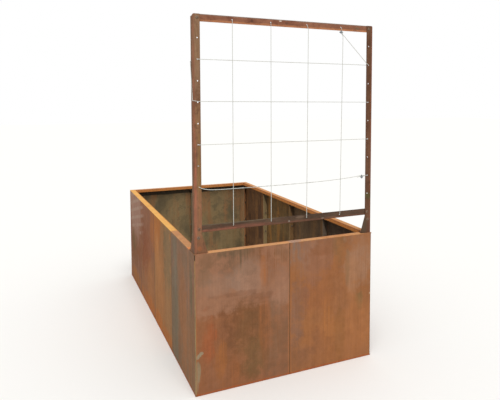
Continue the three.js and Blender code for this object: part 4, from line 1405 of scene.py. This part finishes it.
def clip_saddle(s, seat, half_width, name, material):
    """A clip's cast saddle: a block with rounded edges."""
    shape = bmesh.new()
    size = Matrix.Diagonal((s.saddle_height, 2 * half_width, s.saddle_length, 1))
    place = Matrix.Translation((seat + s.saddle_height / 2, 0, 0))
    bmesh.ops.create_cube(shape, size=1.0, matrix=place @ size)
    made = new_piece(name, (), material=material)
    shape.to_mesh(made.data)
    shape.free()
    round_edges = made.modifiers.new("Cast edges", "BEVEL")
    round_edges.width = s.saddle_edge
    round_edges.segments = 3
    return settled(made)


def clip_pieces(name, lacing, fit, material):
    """One clip in its own frame, as its pieces with the ends of their CAD nodes' names."""
    s = lacing.s
    leg_y = s.radius + fit + s.clip_leg
    seat = lacing.strand + s.radius + fit
    nut_seat = seat + s.saddle_height + fit
    leg_end = nut_seat + s.clip_nut + s.clip_thread
    turns = [math.pi * step / 12 for step in range(13)]
    bow = [(-lacing.strand - leg_y * math.sin(a), -leg_y * math.cos(a), 0) for a in turns]
    line = [(leg_end, -leg_y, 0), *bow, (leg_end, leg_y, 0)]
    u_bolt = round_wire(f"{name}_bow", line, s.clip_leg, s.clip_leg / 8, 12, material)
    saddle = clip_saddle(s, seat, leg_y + s.clip_leg, f"{name}_cast_saddle", material)
    recipe = Recipe("clip_nut", Corner_radius=s.clip_flats / math.sqrt(3), Height=s.clip_nut)
    nut = recipe.hexagon(*recipe.sizes, 0.0, 0.88)
    places = [(Vector((nut_seat, y, 0)), Vector((1, 0, 0))) for y in (-leg_y, leg_y)]
    nuts = recipe.copied(f"{name}_nuts", places, nut, material)
    return {u_bolt: ["u_bolt"], saddle: ["saddle"], nuts: ["nut_front", "nut_back"]}


class PLANTER_OT_wire_clips(bpy.types.Operator):
    """Close the wire's two loops with U-bolt clips"""

    bl_idname = "planter.wire_clips"
    bl_label = "Wire clips"

    def execute(self, context):
        patina, lacing = context.scene.planter_patina, Lacing(context)
        material = zinc_finish("clip_zinc_finish", patina.clip, patina.dull_clip, 0.6)
        fit = context.scene.planter_trellis.clearance
        for name, centre, turn in (("top_clip", lacing.top_clip, 180), ("side_clip", lacing.side_clip, 90)):
            spot = Matrix.Translation(centre) @ Matrix.Rotation(math.radians(turn), 4, "Y")
            for piece, parts in clip_pieces(name, lacing, fit, material).items():
                piece.data.transform(spot)
                sharpened(piece, 32)
                carried(piece, "galvanised_wire", *[f"{name}_{part}" for part in parts])
        return {"FINISHED"}


# ---------------------------------------------------------------- stage


def white_world(stage):
    """Even light from all round. The camera, and reflections, see plain white."""
    world = bpy.data.worlds.new("Studio")
    world.use_nodes = True
    world.node_tree.nodes.clear()
    tree = Nodes(world.node_tree)
    rays = tree.node("ShaderNodeLightPath").outputs
    seen = tree.math("MAXIMUM", rays["Is Camera Ray"], rays["Is Glossy Ray"])
    strength = tree.node("ShaderNodeMapRange", Value=seen, To_Min=stage.sky, To_Max=1.0).outputs[0]
    background = tree.node("ShaderNodeBackground", Color=(1, 1, 1), Strength=strength)
    tree.node("ShaderNodeOutputWorld", Surface=background.outputs[0])
    return world


def photo_camera():
    """A camera that stands where the photograph's did."""
    data = bpy.data.cameras.new("Camera")
    camera = bpy.data.objects.new("Camera", data)
    bpy.context.scene.collection.objects.link(camera)
    picture_width, picture_height = 500, 400
    focal_pixels, centre_x, centre_y = 531.16, 295.5, 136.11
    data.sensor_width = 36.0
    data.lens = focal_pixels / picture_width * data.sensor_width
    data.shift_x = (picture_width / 2 - centre_x) / picture_width
    data.shift_y = (centre_y - picture_height / 2) / picture_width
    data.clip_start, data.clip_end = 0.05, 100
    camera.location = (-1.1350, -3.4342, 1.4324)
    camera.rotation_euler = [math.radians(angle) for angle in (86.086, -0.089, -25.597)]
    bpy.context.scene.camera = camera


class PLANTER_OT_stage(bpy.types.Operator):
    """Set the floor, the lights and the camera"""

    bl_idname = "planter.stage"
    bl_label = "Studio"

    def execute(self, context):
        stage = context.scene.planter_stage
        reach, below = 30.0, -0.0005
        corners = [(x * reach, y * reach, 0) for x, y in ((-1, -1), (1, -1), (1, 1), (-1, 1))]
        f = Finish("studio_floor")
        finish = f.shaded(f.node("ShaderNodeBsdfDiffuse", Color=stage.floor))
        floor = new_piece("Floor", corners, (), [(0, 1, 2, 3)], finish)
        floor.location.z = below
        context.scene.world = white_world(stage)
        lamp = bpy.data.lights.new("Key", "SUN")
        lamp.energy = stage.key
        lamp.angle = stage.key_softness
        key = bpy.data.objects.new("Key", lamp)
        context.scene.collection.objects.link(key)
        towards_lamp = Vector((-0.12, -0.42, 0.90))
        key.rotation_euler = towards_lamp.to_track_quat("Z", "Y").to_euler()
        photo_camera()
        context.scene.view_settings.view_transform = "Standard"
        return {"FINISHED"}


class PLANTER_PT_build(bpy.types.Panel):
    """Lists the steps that build the planter"""

    bl_label = "Planter with trellis"
    bl_idname = "PLANTER_PT_build"
    bl_space_type = "VIEW_3D"
    bl_region_type = "UI"
    bl_category = "Planter"

    def draw(self, context):
        for step in STEPS:
            self.layout.operator(step.bl_idname)
        for name in GROUPS:
            box = self.layout.box()
            settings = getattr(context.scene, name)
            for key in settings.__annotations__:
                box.prop(settings, key, text=key.replace("_", " ").capitalize())


STEPS = [
    PLANTER_OT_stage,
    PLANTER_OT_wall_panels,
    PLANTER_OT_seam_bolts,
    PLANTER_OT_trellis_frame,
    PLANTER_OT_frame_bolts,
    PLANTER_OT_climbing_wire,
    PLANTER_OT_wire_clips,
]


def register():
    for name, group in GROUPS.items():
        bpy.utils.register_class(group)
        setattr(bpy.types.Scene, name, PointerProperty(type=group))
    for step in [*STEPS, PLANTER_PT_build]:
        bpy.utils.register_class(step)


def unregister():
    for step in [PLANTER_PT_build, *reversed(STEPS)]:
        bpy.utils.unregister_class(step)
    for name, group in GROUPS.items():
        delattr(bpy.types.Scene, name)
        bpy.utils.unregister_class(group)


def main():
    register()
    bpy.ops.planter.stage()
    bpy.ops.planter.wall_panels()
    bpy.ops.planter.seam_bolts()
    bpy.ops.planter.trellis_frame()
    bpy.ops.planter.frame_bolts()
    bpy.ops.planter.climbing_wire()
    bpy.ops.planter.wire_clips()
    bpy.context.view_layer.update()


if __name__ == "__main__":
    main()
